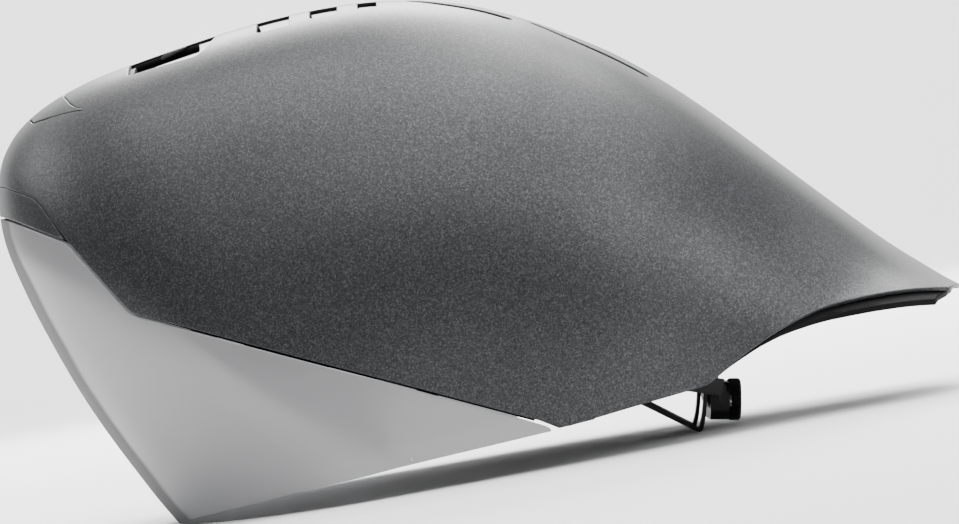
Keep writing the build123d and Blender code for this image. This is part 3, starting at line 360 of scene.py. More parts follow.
def patch(name, loops, d0, d1, r0=0.35, r1=0.35, grid=2.6, edge=1.3, surf=skin, f2=flat, uf2=unflat, rows=4, fillet_in=0.4):
    """closed wall of the surface family surf between depths d0 and d1, bounded by loops (the first is the outside edge, the rest are holes), with rolled edges"""
    rings2 = []
    for lp in loops:
        lp = np.asarray(lp, float)
        p3, _ = surf(lp[:, 0], lp[:, 1], d0)
        rings2.append(respace(p3, lp, edge))
    flat_rings = [f2(r) for r in rings2]
    lo, hi = flat_rings[0].min(0), flat_rings[0].max(0)
    us = np.arange(lo[0] + grid * 0.5, hi[0], grid)
    ws = np.arange(lo[1] + grid * 0.5, hi[1], grid * 0.9)
    U, W = np.meshgrid(us, ws)
    U = U + np.where((np.arange(len(ws)) % 2)[:, None] == 1, grid / 2, 0)
    pts = np.stack([U.ravel(), W.ravel()], -1)
    ok = inside(pts, flat_rings[0])
    for r in flat_rings[1:]:
        ok &= ~inside(pts, r)
    pts = pts[ok]
    allr = np.vstack(flat_rings)
    far = np.ones(len(pts), bool)
    lim = (0.55 * grid + fillet_in + r0) ** 2
    for c in range(0, len(pts), 2000):
        q = pts[c:c + 2000]
        d = ((q[:, None, :] - allr[None]) ** 2).sum(-1).min(1)
        far[c:c + 2000] = d > lim
    pts = pts[far]
    nb = len(allr)
    verts2 = [Vector(p) for p in np.vstack([allr, pts])]
    edges = []
    o = 0
    for r in flat_rings:
        m = len(r)
        edges += [(o + k, o + (k + 1) % m) for k in range(m)]
        o += m
    vo, eo, fo, vi, ei, fi = delaunay_2d_cdt(verts2, edges, [], 1, 1e-7)
    vo = np.array([tuple(v) for v in vo])
    tris = np.array([f for f in fo if len(f) == 3])
    cen = vo[tris].mean(1)
    keep = inside(cen, flat_rings[0])
    for r in flat_rings[1:]:
        keep &= ~inside(cen, r)
    tris = tris[keep]
    src = np.array([v[0] if v else -1 for v in vi])
    back = {s: k for k, s in enumerate(src) if s >= 0}
    for k in range(nb):
        if k not in back:
            back[k] = int(np.argmin(((vo - allr[k]) ** 2).sum(-1)))
    av = uf2(vo)
    # boundary frames
    a_b = np.vstack(rings2)
    p0, n0 = surf(a_b[:, 0], a_b[:, 1], 0.0)
    ins = np.zeros_like(p0)
    o = 0
    for q, (r2, fr) in enumerate(zip(rings2, flat_rings)):
        m = len(r2)
        P, N = p0[o:o + m], n0[o:o + m]
        t1 = P - np.roll(P, 1, 0)
        t2 = np.roll(P, -1, 0) - P
        t1 /= np.linalg.norm(t1, axis=1, keepdims=True)
        t2 /= np.linalg.norm(t2, axis=1, keepdims=True)
        t = t1 + t2
        t /= np.linalg.norm(t, axis=1, keepdims=True)
        cosh = np.clip((t * t1).sum(-1), 0.5, 1)
        b = np.cross(N, t)
        b /= np.linalg.norm(b, axis=1, keepdims=True)
        probe = P + b * 0.05
        # which way is the material
        area = 0.5 * (fr[:, 0] * np.roll(fr[:, 1], -1) - np.roll(fr[:, 0], -1) * fr[:, 1]).sum()
        tt = np.roll(fr, -1, 0) - fr
        left = np.stack([-tt[:, 1], tt[:, 0]], -1)
        left /= np.linalg.norm(left, axis=1, keepdims=True)
        inward = left if area > 0 else -left
        if q > 0:
            inward = -inward
        mid = (fr + inward * 0.02)
        q3, _ = surf(*uf2(mid).T, 0.0)
        sgn = np.sign(((q3 - P) * b).sum(-1))
        sg = 1.0 if sgn.sum() >= 0 else -1.0
        ins[o:o + m] = b * sg / cosh[:, None]
        o += m
    body0, _ = surf(av[:, 0], av[:, 1], d0)
    body1, _ = surf(av[:, 0], av[:, 1], d1)
    for k in range(nb):
        body0[back[k]] = p0[k] - n0[k] * d0 + ins[k] * (r0 + fillet_in)
        body1[back[k]] = p0[k] - n0[k] * d1 + ins[k] * (r1 + fillet_in)
    verts = [body0, body1]
    nv = len(body0)
    faces = []
    # orientation of the sheet
    f0 = tris[len(tris) // 2]
    nn = np.cross(body0[f0[1]] - body0[f0[0]], body0[f0[2]] - body0[f0[0]])
    _, nm = surf(av[f0, 0].mean(keepdims=True), av[f0, 1].mean(keepdims=True), 0.0)
    up = (nn * nm[0]).sum() > 0
    T0 = tris if up else tris[:, ::-1]
    faces += [tuple(f) for f in T0]
    faces += [tuple(f[::-1] + nv) for f in T0]
    prof = [(r0, d0)]
    prof += [(r0 * (1 - math.sin(k / rows * math.pi / 2)), d0 + r0 * (1 - math.cos(k / rows * math.pi / 2))) for k in range(1, rows + 1)]
    prof += [(r1 * (1 - math.sin(k / rows * math.pi / 2)), d1 - r1 * (1 - math.cos(k / rows * math.pi / 2))) for k in range(rows, 0, -1)]
    prof += [(r1, d1)]
    ringv = []
    base = 2 * nv
    for inset, dep in prof:
        verts.append(p0 - n0 * dep + ins * inset)
        ringv.append(np.arange(base, base + nb))
        base += nb
    first = np.array([back[k] for k in range(nb)])
    cols = [first] + ringv + [first + nv]
    o = 0
    for q, r in enumerate(flat_rings):
        m = len(r)
        # winding: walk the ring so that the wall faces outwards
        k0, k1 = o, o + 1
        e = {(int(a), int(b)) for f in T0[:] for a, b in ((f[0], f[1]), (f[1], f[2]), (f[2], f[0]))} if q == 0 else e
        fwd = (int(first[k0]), int(first[o + 1 % m])) in e
        for k in range(m):
            i, j = o + k, o + (k + 1) % m
            for c0, c1 in zip(cols, cols[1:]):
                quad = (c0[j], c0[i], c1[i], c1[j]) if fwd else (c0[i], c0[j], c1[j], c1[i])
                faces.append(quad)
        o += m
    V3 = np.vstack(verts) / 1000.0
    ob = mesh_object(name, V3, faces)
    return ob


# ------------------------------------------------------------------ outlines in (a, v)
FINE = 0.12


def front_half(pts, radii=3.0):
    """side-view line that starts ahead of the shape: the part on the right half, from the centre line on"""
    q, t = from_side(path(pts, radii, FINE), 1.0)
    hit = np.where(t > 0)[0][0]
    if hit > 0:
        f = t[hit - 1] / (t[hit - 1] - t[hit])
        first = q[hit - 1] * (1 - f) + q[hit] * f
        q = np.vstack([[first[0], 0.0], q[hit:]])
    return q


def centre_at(x=None, z=None, near=None):
    """(a, 0) of the crown point with that X or Z closest to the angle near"""
    p = skin_raw(GA, np.zeros_like(GA))
    d = np.abs(p[:, 0] - x) if x is not None else np.abs(p[:, 2] - z)
    if near is not None:
        d = d + (np.abs(GA - near) > 0.5) * 1e3
    return np.array([[GA[np.argmin(d)], 0.0]])


def closed(right):
    """right half from centre line to centre line, with its mirror image"""
    right = right.copy()
    right[0, 1] = right[-1, 1] = 0.0
    return np.vstack([right, (right[::-1] * [1, -1])[1:-1]])


def to_tail(q, dx=0.0):
    """cut a right-half line where it leaves the tail's plan outline, and go on round the outline to the centre line"""
    plan = np.array([(-200, -130)] + [(x - dx, y) for x, y in TAIL_PLAN[::-1]] + [(-200, 130)], float)
    p = skin_raw(q[:, 0], q[:, 1])
    ok = inside(p[:, :2], plan)
    stop = np.where(~ok & (p[:, 0] > 100))[0][0]
    edge = path([(x - dx, y) for x, y in TAIL_PLAN[:6]] + [(TAIL_PLAN[5][0] - dx, 0.0)], 3.0, 0.7)
    rest = from_plan(edge[edge[:, 1] < p[stop, 1] - 0.3])
    return np.vstack([q[:stop], rest])


def plan_loop(pts, radii):
    return from_plan(path(pts, radii, 0.5, closed=True))


def slot_loop(line, width, sgn):
    fine = spline(range(len(line)), line, np.linspace(0, len(line) - 1, 25))
    a, b = shifted(fine, width / 2), shifted(fine, -width / 2)
    h = width / 2
    def cap(c, frm):
        g = math.atan2(frm[1] - c[1], frm[0] - c[0])
        return [(c[0] + h * math.cos(g - math.pi * k / 10), c[1] + h * math.sin(g - math.pi * k / 10)) for k in range(1, 10)]
    out = list(a) + cap(fine[-1], a[-1]) + list(b)[::-1] + cap(fine[0], b[0])
    return from_plan([(x, y * sgn) for x, y in out])


shell_edge = closed(to_tail(front_half(BROW_TOP + DIAGONAL + RIM)))
scoop_edge = plan_loop(SCOOP, 2.0)
window_edges = [plan_loop([(x0, -w), (x1, -w), (x1, w), (x0, w)], 1.6) for x0, x1, w in WINDOWS]
slot_edges = [slot_loop(SLOT1, 4.6, s) for s in (1, -1)] + [slot_loop(SLOT2, 3.4, s) for s in (1, -1)]
bat_edge = plan_loop(BAT, 1.0)
bat_in_edge = plan_loop(BAT_IN, 1.0)
lens_top = shifted(LENS_TOP + DIAGONAL, -SEAM)
lens_top[-2] = (4.0, 19.0)
lens_top[-1] = (13.3, 14.3)
low, low_t = from_side(path(LENS_LOW, 3.0, FINE), 1.0)
stop = np.where(low_t < 0)[0]
stop = stop[stop > 20][0]
low = np.vstack([low[:stop - 1], [[low[stop, 0], 0.0]]])
top = front_half(lens_top + [(14.5, 12.7), (11.6, 12.6)], [3.0] * (len(lens_top) - 1) + [1.7, 1.7, 0.3])
lens_edge = closed(np.vstack([top, low[2:]]))
brow_hi = front_half([(x, z - 0.3) for x, z in BROW_TOP[:-1]] + [(-141.2, 106.9)])
brow_lo = front_half(LENS_TOP[:-1] + [(-141.0, 106.6)])
brow_edge = closed(np.vstack([brow_hi, brow_lo[::-1]]))
TRIM_LOW = [(72.0, 19.2), (78.8, 23.0), (83.5, 25.2), (89.8, 28.1), (94.4, 29.9), (99.0, 31.5), (103.5, 32.7), (108.0, 33.7), (112.5, 34.6), (116.9, 35.2),
            (125.6, 35.8), (134.1, 35.9), (142.6, 35.4), (151.1, 34.6), (159.6, 33.8), (170, 32.8)]
trim_side, _t = from_side(path([(126, 70), (124, 60), (119.5, 46.5), (112.5, 39.6), (108, 37.6), (99, 34.9), (89.8, 31.4), (83, 27.9), (73.4, 21.9)] + TRIM_LOW,
                               [1, 4, 4, 3, 3, 3, 3, 2, 0.5, 0.5] + [4] * 15, FINE), 1.0)
_p = skin_raw(GA, np.zeros_like(GA))
_k = int(np.argmin(np.abs(_p[:, 0] - 126) + (_p[:, 2] < 40) * 1e3))
_z = np.linspace(_p[_k, 2] - 0.02, 70, 60)
head_cut, _t = from_side(np.stack([np.full(60, 126.0), _z], -1), 1.0)
trim_edge = closed(to_tail(np.vstack([[[head_cut[0, 0], 0.0]], head_cut[1:-1], trim_side]), 1.4))

# ------------------------------------------------------------------ finishes
def nodes_of(name):
    m = bpy.data.materials.new(name)
    m.use_nodes = True
    nt = m.node_tree
    nt.nodes.clear()
    out = nt.nodes.new("ShaderNodeOutputMaterial")
    b = nt.nodes.new("ShaderNodeBsdfPrincipled")
    nt.links.new(b.outputs[0], out.inputs[0])
    return m, nt, b, out


def put(nt, kind, inputs=None, **props):
    n = nt.nodes.new(kind)
    for k, v in props.items():
        setattr(n, k, v)
    for k, v in (inputs or {}).items():
        if isinstance(v, bpy.types.NodeSocket):
            nt.links.new(v, n.inputs[k])
        else:
            n.inputs[k].default_value = v
    return n


def coords(nt, scale=(1, 1, 1), rotation=(0, 0, 0)):
    tc = nt.nodes.new("ShaderNodeTexCoord")
    return put(nt, "ShaderNodeMapping", {"Vector": tc.outputs["Object"], "Scale": scale, "Rotation": rotation}).outputs[0]


def ramp(nt, fac, stops):
    n = put(nt, "ShaderNodeValToRGB", {"Fac": fac})
    e = n.color_ramp.elements
    while len(e) < len(stops):
        e.new(0.5)
    for el, (pos, col) in zip(e, stops):
        el.position = pos
        el.color = (col, col, col, 1) if np.isscalar(col) else (*col, 1)
    return n.outputs[0]


def bump(nt, b, height, strength, distance):
    n = put(nt, "ShaderNodeBump", {"Height": height, "Strength": strength, "Distance": distance})
    nt.links.new(n.outputs[0], b.inputs["Normal"])
    return n


def setp(b, **kw):
    names = {"color": "Base Color", "metal": "Metallic", "rough": "Roughness", "ior": "IOR", "spec": "Specular IOR Level", "coat": "Coat Weight",
             "coat_rough": "Coat Roughness", "sheen": "Sheen Weight", "sheen_rough": "Sheen Roughness", "trans": "Transmission Weight",
             "sss": "Subsurface Weight", "sss_scale": "Subsurface Scale"}
    for k, v in kw.items():
        s = b.inputs[names[k]]
        s.default_value = (*v, 1) if k == "color" else v


def painted(name, dark, light, rough, metal, flake_scale=3200.0):
    """matt paint with a fine metal flake, and a painted sheen: towards an edge-on view the paint turns to a flat grey
    """
    m, nt, b, out = nodes_of(name)
    co = coords(nt)
    vor = put(nt, "ShaderNodeTexVoronoi", {"Vector": co, "Scale": flake_scale})
    spark = ramp(nt, vor.outputs["Color"], [(0.0, dark), (0.62, tuple(0.6 * d + 0.4 * l for d, l in zip(dark, light))), (1.0, light)])
    soft = put(nt, "ShaderNodeTexNoise", {"Vector": co, "Scale": 11.0, "Detail": 3.0})
    tint = put(nt, "ShaderNodeMix", {"Factor": soft.outputs[0]}, data_type="RGBA", blend_type="MULTIPLY")
    nt.links.new(spark, tint.inputs[6])
    tint.inputs[7].default_value = (0.88, 0.88, 0.89, 1)
    nt.links.new(tint.outputs[2], b.inputs["Base Color"])
    setp(b, rough=rough, metal=metal, spec=0.32, coat=0.25, coat_rough=0.34)
    grain = put(nt, "ShaderNodeTexNoise", {"Vector": co, "Scale": 4200.0, "Detail": 1.0})
    bump(nt, b, grain.outputs[0], 0.16, 0.00007)
    # painted sheen: where the surface is seen edge-on, the glossy paint is mixed into a flat grey diffuse, which sets
    # the edge's brightness in place of its reflection
    flat = put(nt, "ShaderNodeBsdfDiffuse", {"Color": (0.21, 0.21, 0.215, 1)})
    lw = put(nt, "ShaderNodeLayerWeight", {"Blend": 0.5})
    f = put(nt, "ShaderNodeMapRange", {"Value": lw.outputs["Facing"], "From Min": 0.66, "From Max": 0.94, "To Min": 0.0, "To Max": 0.72})
    fin = put(nt, "ShaderNodeMixShader", {0: f.outputs[0], 1: b.outputs[0], 2: flat.outputs[0]})
    nt.links.new(fin.outputs[0], out.inputs[0])
    return m


def plastic(name, color, rough, grain_scale=2400.0, grain=0.18, coat=0.0, spec=0.5):
    m, nt, b, out = nodes_of(name)
    co = coords(nt)
    setp(b, color=color, coat=coat, coat_rough=0.15, spec=spec)
    n1 = put(nt, "ShaderNodeTexNoise", {"Vector": co, "Scale": grain_scale, "Detail": 2.0})
    n2 = put(nt, "ShaderNodeTexNoise", {"Vector": co, "Scale": 60.0, "Detail": 3.0})
    r = put(nt, "ShaderNodeMapRange", {"Value": n2.outputs[0], "To Min": rough - 0.05, "To Max": rough + 0.07})
    nt.links.new(r.outputs[0], b.inputs["Roughness"])
    bump(nt, b, n1.outputs[0], grain, 0.00008)
    return m


def metal(name, color, rough, scale=900.0):
    m, nt, b, out = nodes_of(name)
    co = coords(nt, scale=(1, 1, 8))
    setp(b, color=color, metal=1.0)
    n = put(nt, "ShaderNodeTexNoise", {"Vector": co, "Scale": scale, "Detail": 3.0})
    r = put(nt, "ShaderNodeMapRange", {"Value": n.outputs[0], "To Min": rough - 0.04, "To Max": rough + 0.09})
    nt.links.new(r.outputs[0], b.inputs["Roughness"])
    bump(nt, b, n.outputs[0], 0.05, 0.00004)
    return m


def bead_foam(name, color):
    """expanded bead foam: flattened beads with fine dark joints"""
    m, nt, b, out = nodes_of(name)
    co = coords(nt)
    wob = put(nt, "ShaderNodeTexNoise", {"Vector": co, "Scale": 160.0, "Detail": 1.0})
    warp = put(nt, "ShaderNodeVectorMath", {0: wob.outputs[1], 1: (0.0016, 0.0016, 0.0016)}, operation="MULTIPLY")
    add = put(nt, "ShaderNodeVectorMath", {0: co, 1: warp.outputs[0]}, operation="ADD")
    edge = put(nt, "ShaderNodeTexVoronoi", {"Vector": add.outputs[0], "Scale": 330.0}, feature="DISTANCE_TO_EDGE")
    cell = put(nt, "ShaderNodeTexVoronoi", {"Vector": add.outputs[0], "Scale": 330.0})
    joint = ramp(nt, edge.outputs[0], [(0.0, 0.0), (0.10, 0.75), (0.4, 1.0)])
    shade = ramp(nt, cell.outputs["Color"], [(0.0, tuple(c * 0.78 for c in color)), (1.0, tuple(c * 1.22 for c in color))])
    mix = put(nt, "ShaderNodeMix", {"Factor": joint}, data_type="RGBA")
    mix.inputs[6].default_value = (*[c * 0.35 for c in color], 1)
    nt.links.new(shade, mix.inputs[7])
    nt.links.new(mix.outputs[2], b.inputs["Base Color"])
    setp(b, rough=0.62)
    bump(nt, b, joint, 0.5, 0.00022)
    return m


def woven(name, color, pitch=0.0011, axis_rot=(0, 0, 0), strength=0.7, sheen=0.35):
    """close weave in two directions"""
    m, nt, b, out = nodes_of(name)
    co = coords(nt, rotation=axis_rot)
    sc = 0.5 / pitch / 3.14159 * 3.14159
    w1 = put(nt, "ShaderNodeTexWave", {"Vector": co, "Scale": sc, "Distortion": 0.6, "Detail": 1.0, "Detail Scale": 6.0}, bands_direction="X")
    w2 = put(nt, "ShaderNodeTexWave", {"Vector": co, "Scale": sc, "Distortion": 0.6, "Detail": 1.0, "Detail Scale": 6.0}, bands_direction="Y")
    w3 = put(nt, "ShaderNodeTexWave", {"Vector": co, "Scale": sc, "Distortion": 0.6, "Detail": 1.0, "Detail Scale": 6.0}, bands_direction="Z")
    a = put(nt, "ShaderNodeMath", {0: w1.outputs[1], 1: w2.outputs[1]}, operation="MULTIPLY")
    a2 = put(nt, "ShaderNodeMath", {0: a.outputs[0], 1: w3.outputs[1]}, operation="ADD")
    fuzz = put(nt, "ShaderNodeTexNoise", {"Vector": co, "Scale": 5200.0, "Detail": 2.0})
    h = put(nt, "ShaderNodeMath", {0: a2.outputs[0], 1: fuzz.outputs[0]}, operation="ADD")
    shade = ramp(nt, h.outputs[0], [(0.2, tuple(c * 0.55 for c in color)), (0.75, color), (1.0, tuple(min(1, c * 1.5) for c in color))])
    nt.links.new(shade, b.inputs["Base Color"])
    setp(b, rough=0.82, sheen=sheen, sheen_rough=0.45)
    bump(nt, b, h.outputs[0], strength, 0.0002)
    return m


def lens_finish(name):
    """hard-coated grey visor: an even grey body with light from behind it, a clear gloss coat and a painted dark rim,
    painted shade where it is seen edge-on
    """
    m, nt, b, out = nodes_of(name)
    co = coords(nt)
    setp(b, color=(0.46, 0.46, 0.47), metal=0.25, rough=0.24, coat=0.7, coat_rough=0.05)
    n = put(nt, "ShaderNodeTexNoise", {"Vector": co, "Scale": 12.0, "Detail": 1.0})
    r = put(nt, "ShaderNodeMapRange", {"Value": n.outputs[0], "To Min": 0.20, "To Max": 0.28})
    nt.links.new(r.outputs[0], b.inputs["Roughness"])
    lit = put(nt, "ShaderNodeBsdfTranslucent", {"Color": (0.74, 0.74, 0.75, 1)})
    body = put(nt, "ShaderNodeMixShader", {0: 0.45, 1: b.outputs[0], 2: lit.outputs[0]})
    clear = put(nt, "ShaderNodeBsdfTransparent", {"Color": (0.80, 0.80, 0.81, 1)})
    seen = put(nt, "ShaderNodeMixShader", {0: 0.12, 1: body.outputs[0], 2: clear.outputs[0]})
    # painted shade: a dark grey diffuse mixed in where the visor is seen edge-on, darkening its outline
    edge_on_painted_shade = put(nt, "ShaderNodeBsdfDiffuse", {"Color": (0.15, 0.15, 0.155, 1)})
    lw = put(nt, "ShaderNodeLayerWeight", {"Blend": 0.5})
    f = put(nt, "ShaderNodeMapRange", {"Value": lw.outputs["Facing"], "From Min": 0.715, "From Max": 0.755, "To Min": 0.0, "To Max": 0.86})
    fin = put(nt, "ShaderNodeMixShader", {0: f.outputs[0], 1: seen.outputs[0], 2: edge_on_painted_shade.outputs[0]})
    nt.links.new(fin.outputs[0], out.inputs[0])
    return m


M_SHELL = painted("shell_matt_charcoal", (0.005, 0.005, 0.0055), (0.075, 0.077, 0.082), 0.47, 0.45, flake_scale=2100.0)
M_LENS = lens_finish("visor_grey")
M_TRIM = plastic("trim_black", (0.0016, 0.0016, 0.0018), 0.60, spec=0.10)
M_SPINE = plastic("spine_black", (0.006, 0.006, 0.0065), 0.50, spec=0.3)
# scoop blades in a lighter grey than the black spine: painted light, standing for light falling on them from above
M_BLADE_PAINTED_LIGHT = plastic("scoop_blade_painted_light", (0.055, 0.055, 0.058), 0.40, spec=0.4)
M_FOAM = bead_foam("bead_foam_dark", (0.030, 0.031, 0.033))
M_PAD = woven("pad_knit", (0.028, 0.029, 0.031), pitch=0.0008)
M_WEB = woven("strap_web", (0.020, 0.020, 0.021), pitch=0.0012, strength=0.9)
M_NYLON = plastic("fit_nylon", (0.0030, 0.0030, 0.0032), 0.42, spec=0.30)
M_DIAL = plastic("dial_rubber", (0.0035, 0.0035, 0.0036), 0.58, grain_scale=3600.0, grain=0.35, spec=0.35)
M_STEEL = metal("bright_steel", (0.55, 0.55, 0.56), 0.28)
M_MAGNET = metal("nickel_plate", (0.62, 0.61, 0.58), 0.20)


def dress(ob, m):
    ob.data.materials.clear()
    ob.data.materials.append(m)
    return ob


# ------------------------------------------------------------------ modelled skins
def skinned(name, node, body, loops, d0, d1, m, **kw):
    ob = dress(patch("vis_" + name, loops, d0, d1, **kw), m)
    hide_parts(node)
    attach(ob, body)
    return ob


shell = skinned("outer_shell", "outer_shell", "helmet", [shell_edge, scoop_edge] + window_edges + slot_edges + [bat_edge], 0.0, 1.5, M_SHELL,
                grid=2.6, edge=1.1)
lens = skinned("shield_lens", "shield_lens", "shield", [lens_edge], 0.0, 2.2, M_LENS, r0=0.3, r1=0.5, edge=1.1)
brow = skinned("brow_panel", "brow_panel", "helmet", [brow_edge], 0.0, 1.5, M_SHELL, edge=1.1, grid=2.0)
insert = skinned("forehead_insert", "forehead_insert", "helmet", [bat_in_edge], 0.0, 1.5, M_SHELL, edge=1.0, grid=2.0)
# painted shadow: a black strip set behind the shell-shield seam, so that the gap shows as the dark line of its shadow
SHADOW_STRIP_LINE = LENS_TOP + DIAGONAL[:-1] + [(9.2, 17.7)]
shadow_strip_top = front_half(shifted(SHADOW_STRIP_LINE, 1.4))
shadow_strip_low = front_half(shifted(SHADOW_STRIP_LINE, -0.70))
seam_shadow_strip = dress(patch("seam_painted_shadow_strip", [closed(np.vstack([shadow_strip_top, shadow_strip_low[::-1]]))], 1.56, 2.15, r0=0.2, r1=0.2, grid=1.6, edge=1.0, fillet_in=0.12), M_TRIM)
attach(seam_shadow_strip, "helmet")


def rides_helmet(ob, m, *nodes):
    dress(ob, m)
    if nodes:
        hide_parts(*nodes)
    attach(ob, "helmet")
    return ob


def ridge_bar(name, x0, x1, half, d0, d1, **kw):
    """flat bar along the crown's centre line, from x0 to x1"""
    return patch(name, [plan_loop([(x0, -half), (x1, -half), (x1, half), (x0, half)], 0.5)], d0, d1, grid=1.6, edge=0.9, **kw)


spine = [ridge_bar("spine_scoop", -111.9, -77.0, 3.0, 0.12, 1.05, r0=0.3, r1=0.3), ridge_bar("spine_keel", -111.3, -86.2, 3.0, 1.0, 3.6, r0=0.2, r1=1.9)]
for k, ((x0, x1, w), t) in enumerate(zip(WINDOWS, (1.15, 1.40, 1.50))):
    spine.append(ridge_bar(f"spine_window_{k + 1}", x0 - 0.3, x1 + 0.3, 3.0, 0.12, t, r0=0.3, r1=0.3))
for ob in spine:
    rides_helmet(ob, M_SPINE, "vent_spine")
for k, (line, w) in enumerate(((SLOT1, 4.6), (SLOT2, 3.4))):
    for side_name, sg in (("right", 1), ("left", -1)):
        rides_helmet(patch(f"slot_lining_{k + 1}_{side_name}", [slot_loop(line, w - 0.1, sg), slot_loop(line, w - 1.1, sg)], 0.30, 3.2, r0=0.15, r1=0.15,
                           grid=1.2, edge=0.8, fillet_in=0.12), M_TRIM)


def plate(name, outline, y0, y1, bevel=0.25):
    """side-view outline, in pixels, as a plate between y0 and y1 with softened edges"""
    q = np.array([side(px, py) for px, py in outline])
    n = len(q)
    verts = [(x, y0, z) for x, z in q] + [(x, y1, z) for x, z in q]
    faces = [tuple(range(n)), tuple(range(2 * n - 1, n - 1, -1))] + [(k, k + n, (k + 1) % n + n, (k + 1) % n) for k in range(n)]
    ob = mesh_object(name, np.array(verts) / 1000.0, faces)
    b = bmesh.new()
    b.from_mesh(ob.data)
    bmesh.ops.recalc_face_normals(b, faces=b.faces)
    b.to_mesh(ob.data)
    b.free()
    mod = ob.modifiers.new("edge", "BEVEL")
    mod.width = bevel / 1000.0
    mod.segments = 3
    mod.limit_method = "ANGLE"
    mod.angle_limit = math.radians(40)
    return ob


BLADE = [(162.8, 60.3), (163.4, 58.2), (165.5, 56.2), (170.0, 54.0), (178.0, 51.0), (189.5, 46.8), (185.0, 50.6), (178.0, 54.0), (170.0, 58.2), (165.6, 60.2), (163.8, 60.8)]
# the blades' lighter grey is painted light from above
for side_name, sg in (("right", 1), ("left", -1)):
    rides_helmet(plate("scoop_blade_" + side_name, BLADE, *sorted((sg * 2.8, sg * 7.0)), bevel=0.3), M_BLADE_PAINTED_LIGHT)
trim = skinned("tail_trim", "tail_trim", "helmet", [trim_edge], 1.75, 4.2, M_TRIM, r0=0.6, r1=0.6)

# ------------------------------------------------------------------ soft pads on the wall of the head hollow
CAV_A, CAV_B, CAV_C = 102.0, 78.0, 84.0
HX0, HZ0 = to_row(-45.0, -15.0)


def head_point(x, y, z):
    """point in the head's own frame to row millimetres"""
    return np.stack([HX0 + x * CT + z * ST, y, HZ0 - x * ST + z * CT], -1)


def wall_side(front):
    """hollow's wall as (millimetres round from the front or the side, height)"""
    th = np.linspace(-math.pi, math.pi, 2001)
    ang = th + (math.pi if front == 0 else front * math.pi / 2)
    q = np.stack([CAV_A * np.cos(ang), CAV_B * np.sin(ang)], -1)
    l = np.concatenate([[0], np.cumsum(np.linalg.norm(np.diff(q, axis=0), axis=1))])
    l -= np.interp(0.0, th, l)

    def at(uv, inset):
        g = np.interp(uv[:, 0], l, ang)
        a, b, c = CAV_A - inset, CAV_B - inset, CAV_C - inset
        f = np.sqrt(1 - (uv[:, 1] / c) ** 2)
        return head_point(a * f * np.cos(g), b * f * np.sin(g), uv[:, 1])
    return at


def wall_top(uv, inset):
    a, b, c = CAV_A - inset, CAV_B - inset, CAV_C - inset
    return head_point(uv[:, 0], uv[:, 1], c * np.sqrt(np.clip(1 - (uv[:, 0] / a) ** 2 - (uv[:, 1] / b) ** 2, 0.02, 1)))


def round_box(u0, u1, w0, w1, r, step=1.2):
    return path([(u0, w0), (u1, w0), (u1, w1), (u0, w1)], r * 1.3, step, closed=True)


def edge_distance(pts, ring):
    a, b = ring, np.roll(ring, -1, 0)
    d = b - a
    t = np.clip(((pts[:, None] - a[None]) * d[None]).sum(-1) / (d * d).sum(-1)[None], 0, 1)
    return np.linalg.norm(pts[:, None] - (a[None] + t[..., None] * d[None]), axis=-1).min(1)


def soft_pad(ring, at, full, hem=1.6, hem_t=0.9, cells=(), seed=1):
    """stuffed pad: stitched hem all round, then a rounded rise to the full thickness, with pressed-in quilting lines"""
    rnd = random.Random(seed)
    lo_, hi_ = ring.min(0), ring.max(0)
    us, ws = np.arange(lo_[0] + 0.5, hi_[0], 1.0), np.arange(lo_[1] + 0.5, hi_[1], 1.0)
    U, W = np.meshgrid(us, ws)
    U = U + np.where((np.arange(len(ws)) % 2)[:, None] == 1, 0.5, 0)
    pts = np.stack([U.ravel(), W.ravel()], -1)
    pts = pts[inside(pts, ring)]
    pts = pts[edge_distance(pts, ring) > 0.55]
    n = len(ring)
    vo, _, fo, vi, _, _ = delaunay_2d_cdt([Vector(p) for p in np.vstack([ring, pts])], [(k, (k + 1) % n) for k in range(n)], [], 1, 1e-7)
    vo = np.array([tuple(v) for v in vo])
    tris = np.array([f for f in fo if len(f) == 3])
    tris = tris[inside(vo[tris].mean(1), ring)]
    d = edge_distance(vo, ring)
    rise = np.clip((d - hem) / 3.2, 0, 1)
    t = hem_t + (full - hem_t) * np.sqrt(1 - (1 - rise) ** 2)
    for (ax, pos) in cells:
        g = np.abs(vo[:, ax] - pos)
        t -= (full - hem_t) * 0.45 * np.exp(-(g / 0.9) ** 2) * rise
    ph = rnd.random() * 6
    t += 0.10 * rise * np.sin(vo[:, 0] * 0.9 + ph) * np.sin(vo[:, 1] * 1.1 + ph * 2)
    t = np.where(d < 0.3, hem_t * 0.35, np.where(d < 0.8, hem_t * 0.85, t))
    base = at(vo, 0.36)
    inn = at(vo, 1.36)
    nrm = inn - base
    nrm /= np.linalg.norm(nrm, axis=1, keepdims=True)
    front = base + nrm * t[:, None]
    src = {v[0]: k for k, v in enumerate(vi) if v}
    ringk = [src[k] for k in range(n)]
    f0 = tris[0]
    up = (np.cross(front[f0[1]] - front[f0[0]], front[f0[2]] - front[f0[0]]) * nrm[f0[0]]).sum() > 0
    T0 = tris if up else tris[:, ::-1]
    m = len(vo)
    faces = [tuple(f) for f in T0] + [tuple(f[::-1] + m) for f in T0]
    e = {(int(a), int(b)) for f in T0 for a, b in ((f[0], f[1]), (f[1], f[2]), (f[2], f[0]))}
    fwd = (ringk[0], ringk[1]) in e
    for k in range(n):
        i, j = ringk[k], ringk[(k + 1) % n]
        faces.append((j, i, i + m, j + m) if fwd else (i, j, j + m, i + m))
    return np.vstack([front, base]) / 1000.0, faces


def merged(name, parts, m):
    verts, faces, o = [], [], 0
    for v, f in parts:
        verts.append(v)
        faces += [tuple(i + o for i in g) for g in f]
        o += len(v)
    return dress(mesh_object(name, np.vstack(verts), faces), m)


def pad_piece(node, parts):
    ob = merged("soft_" + node, parts, M_PAD)
    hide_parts(node)
    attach(ob, "helmet")
    return ob


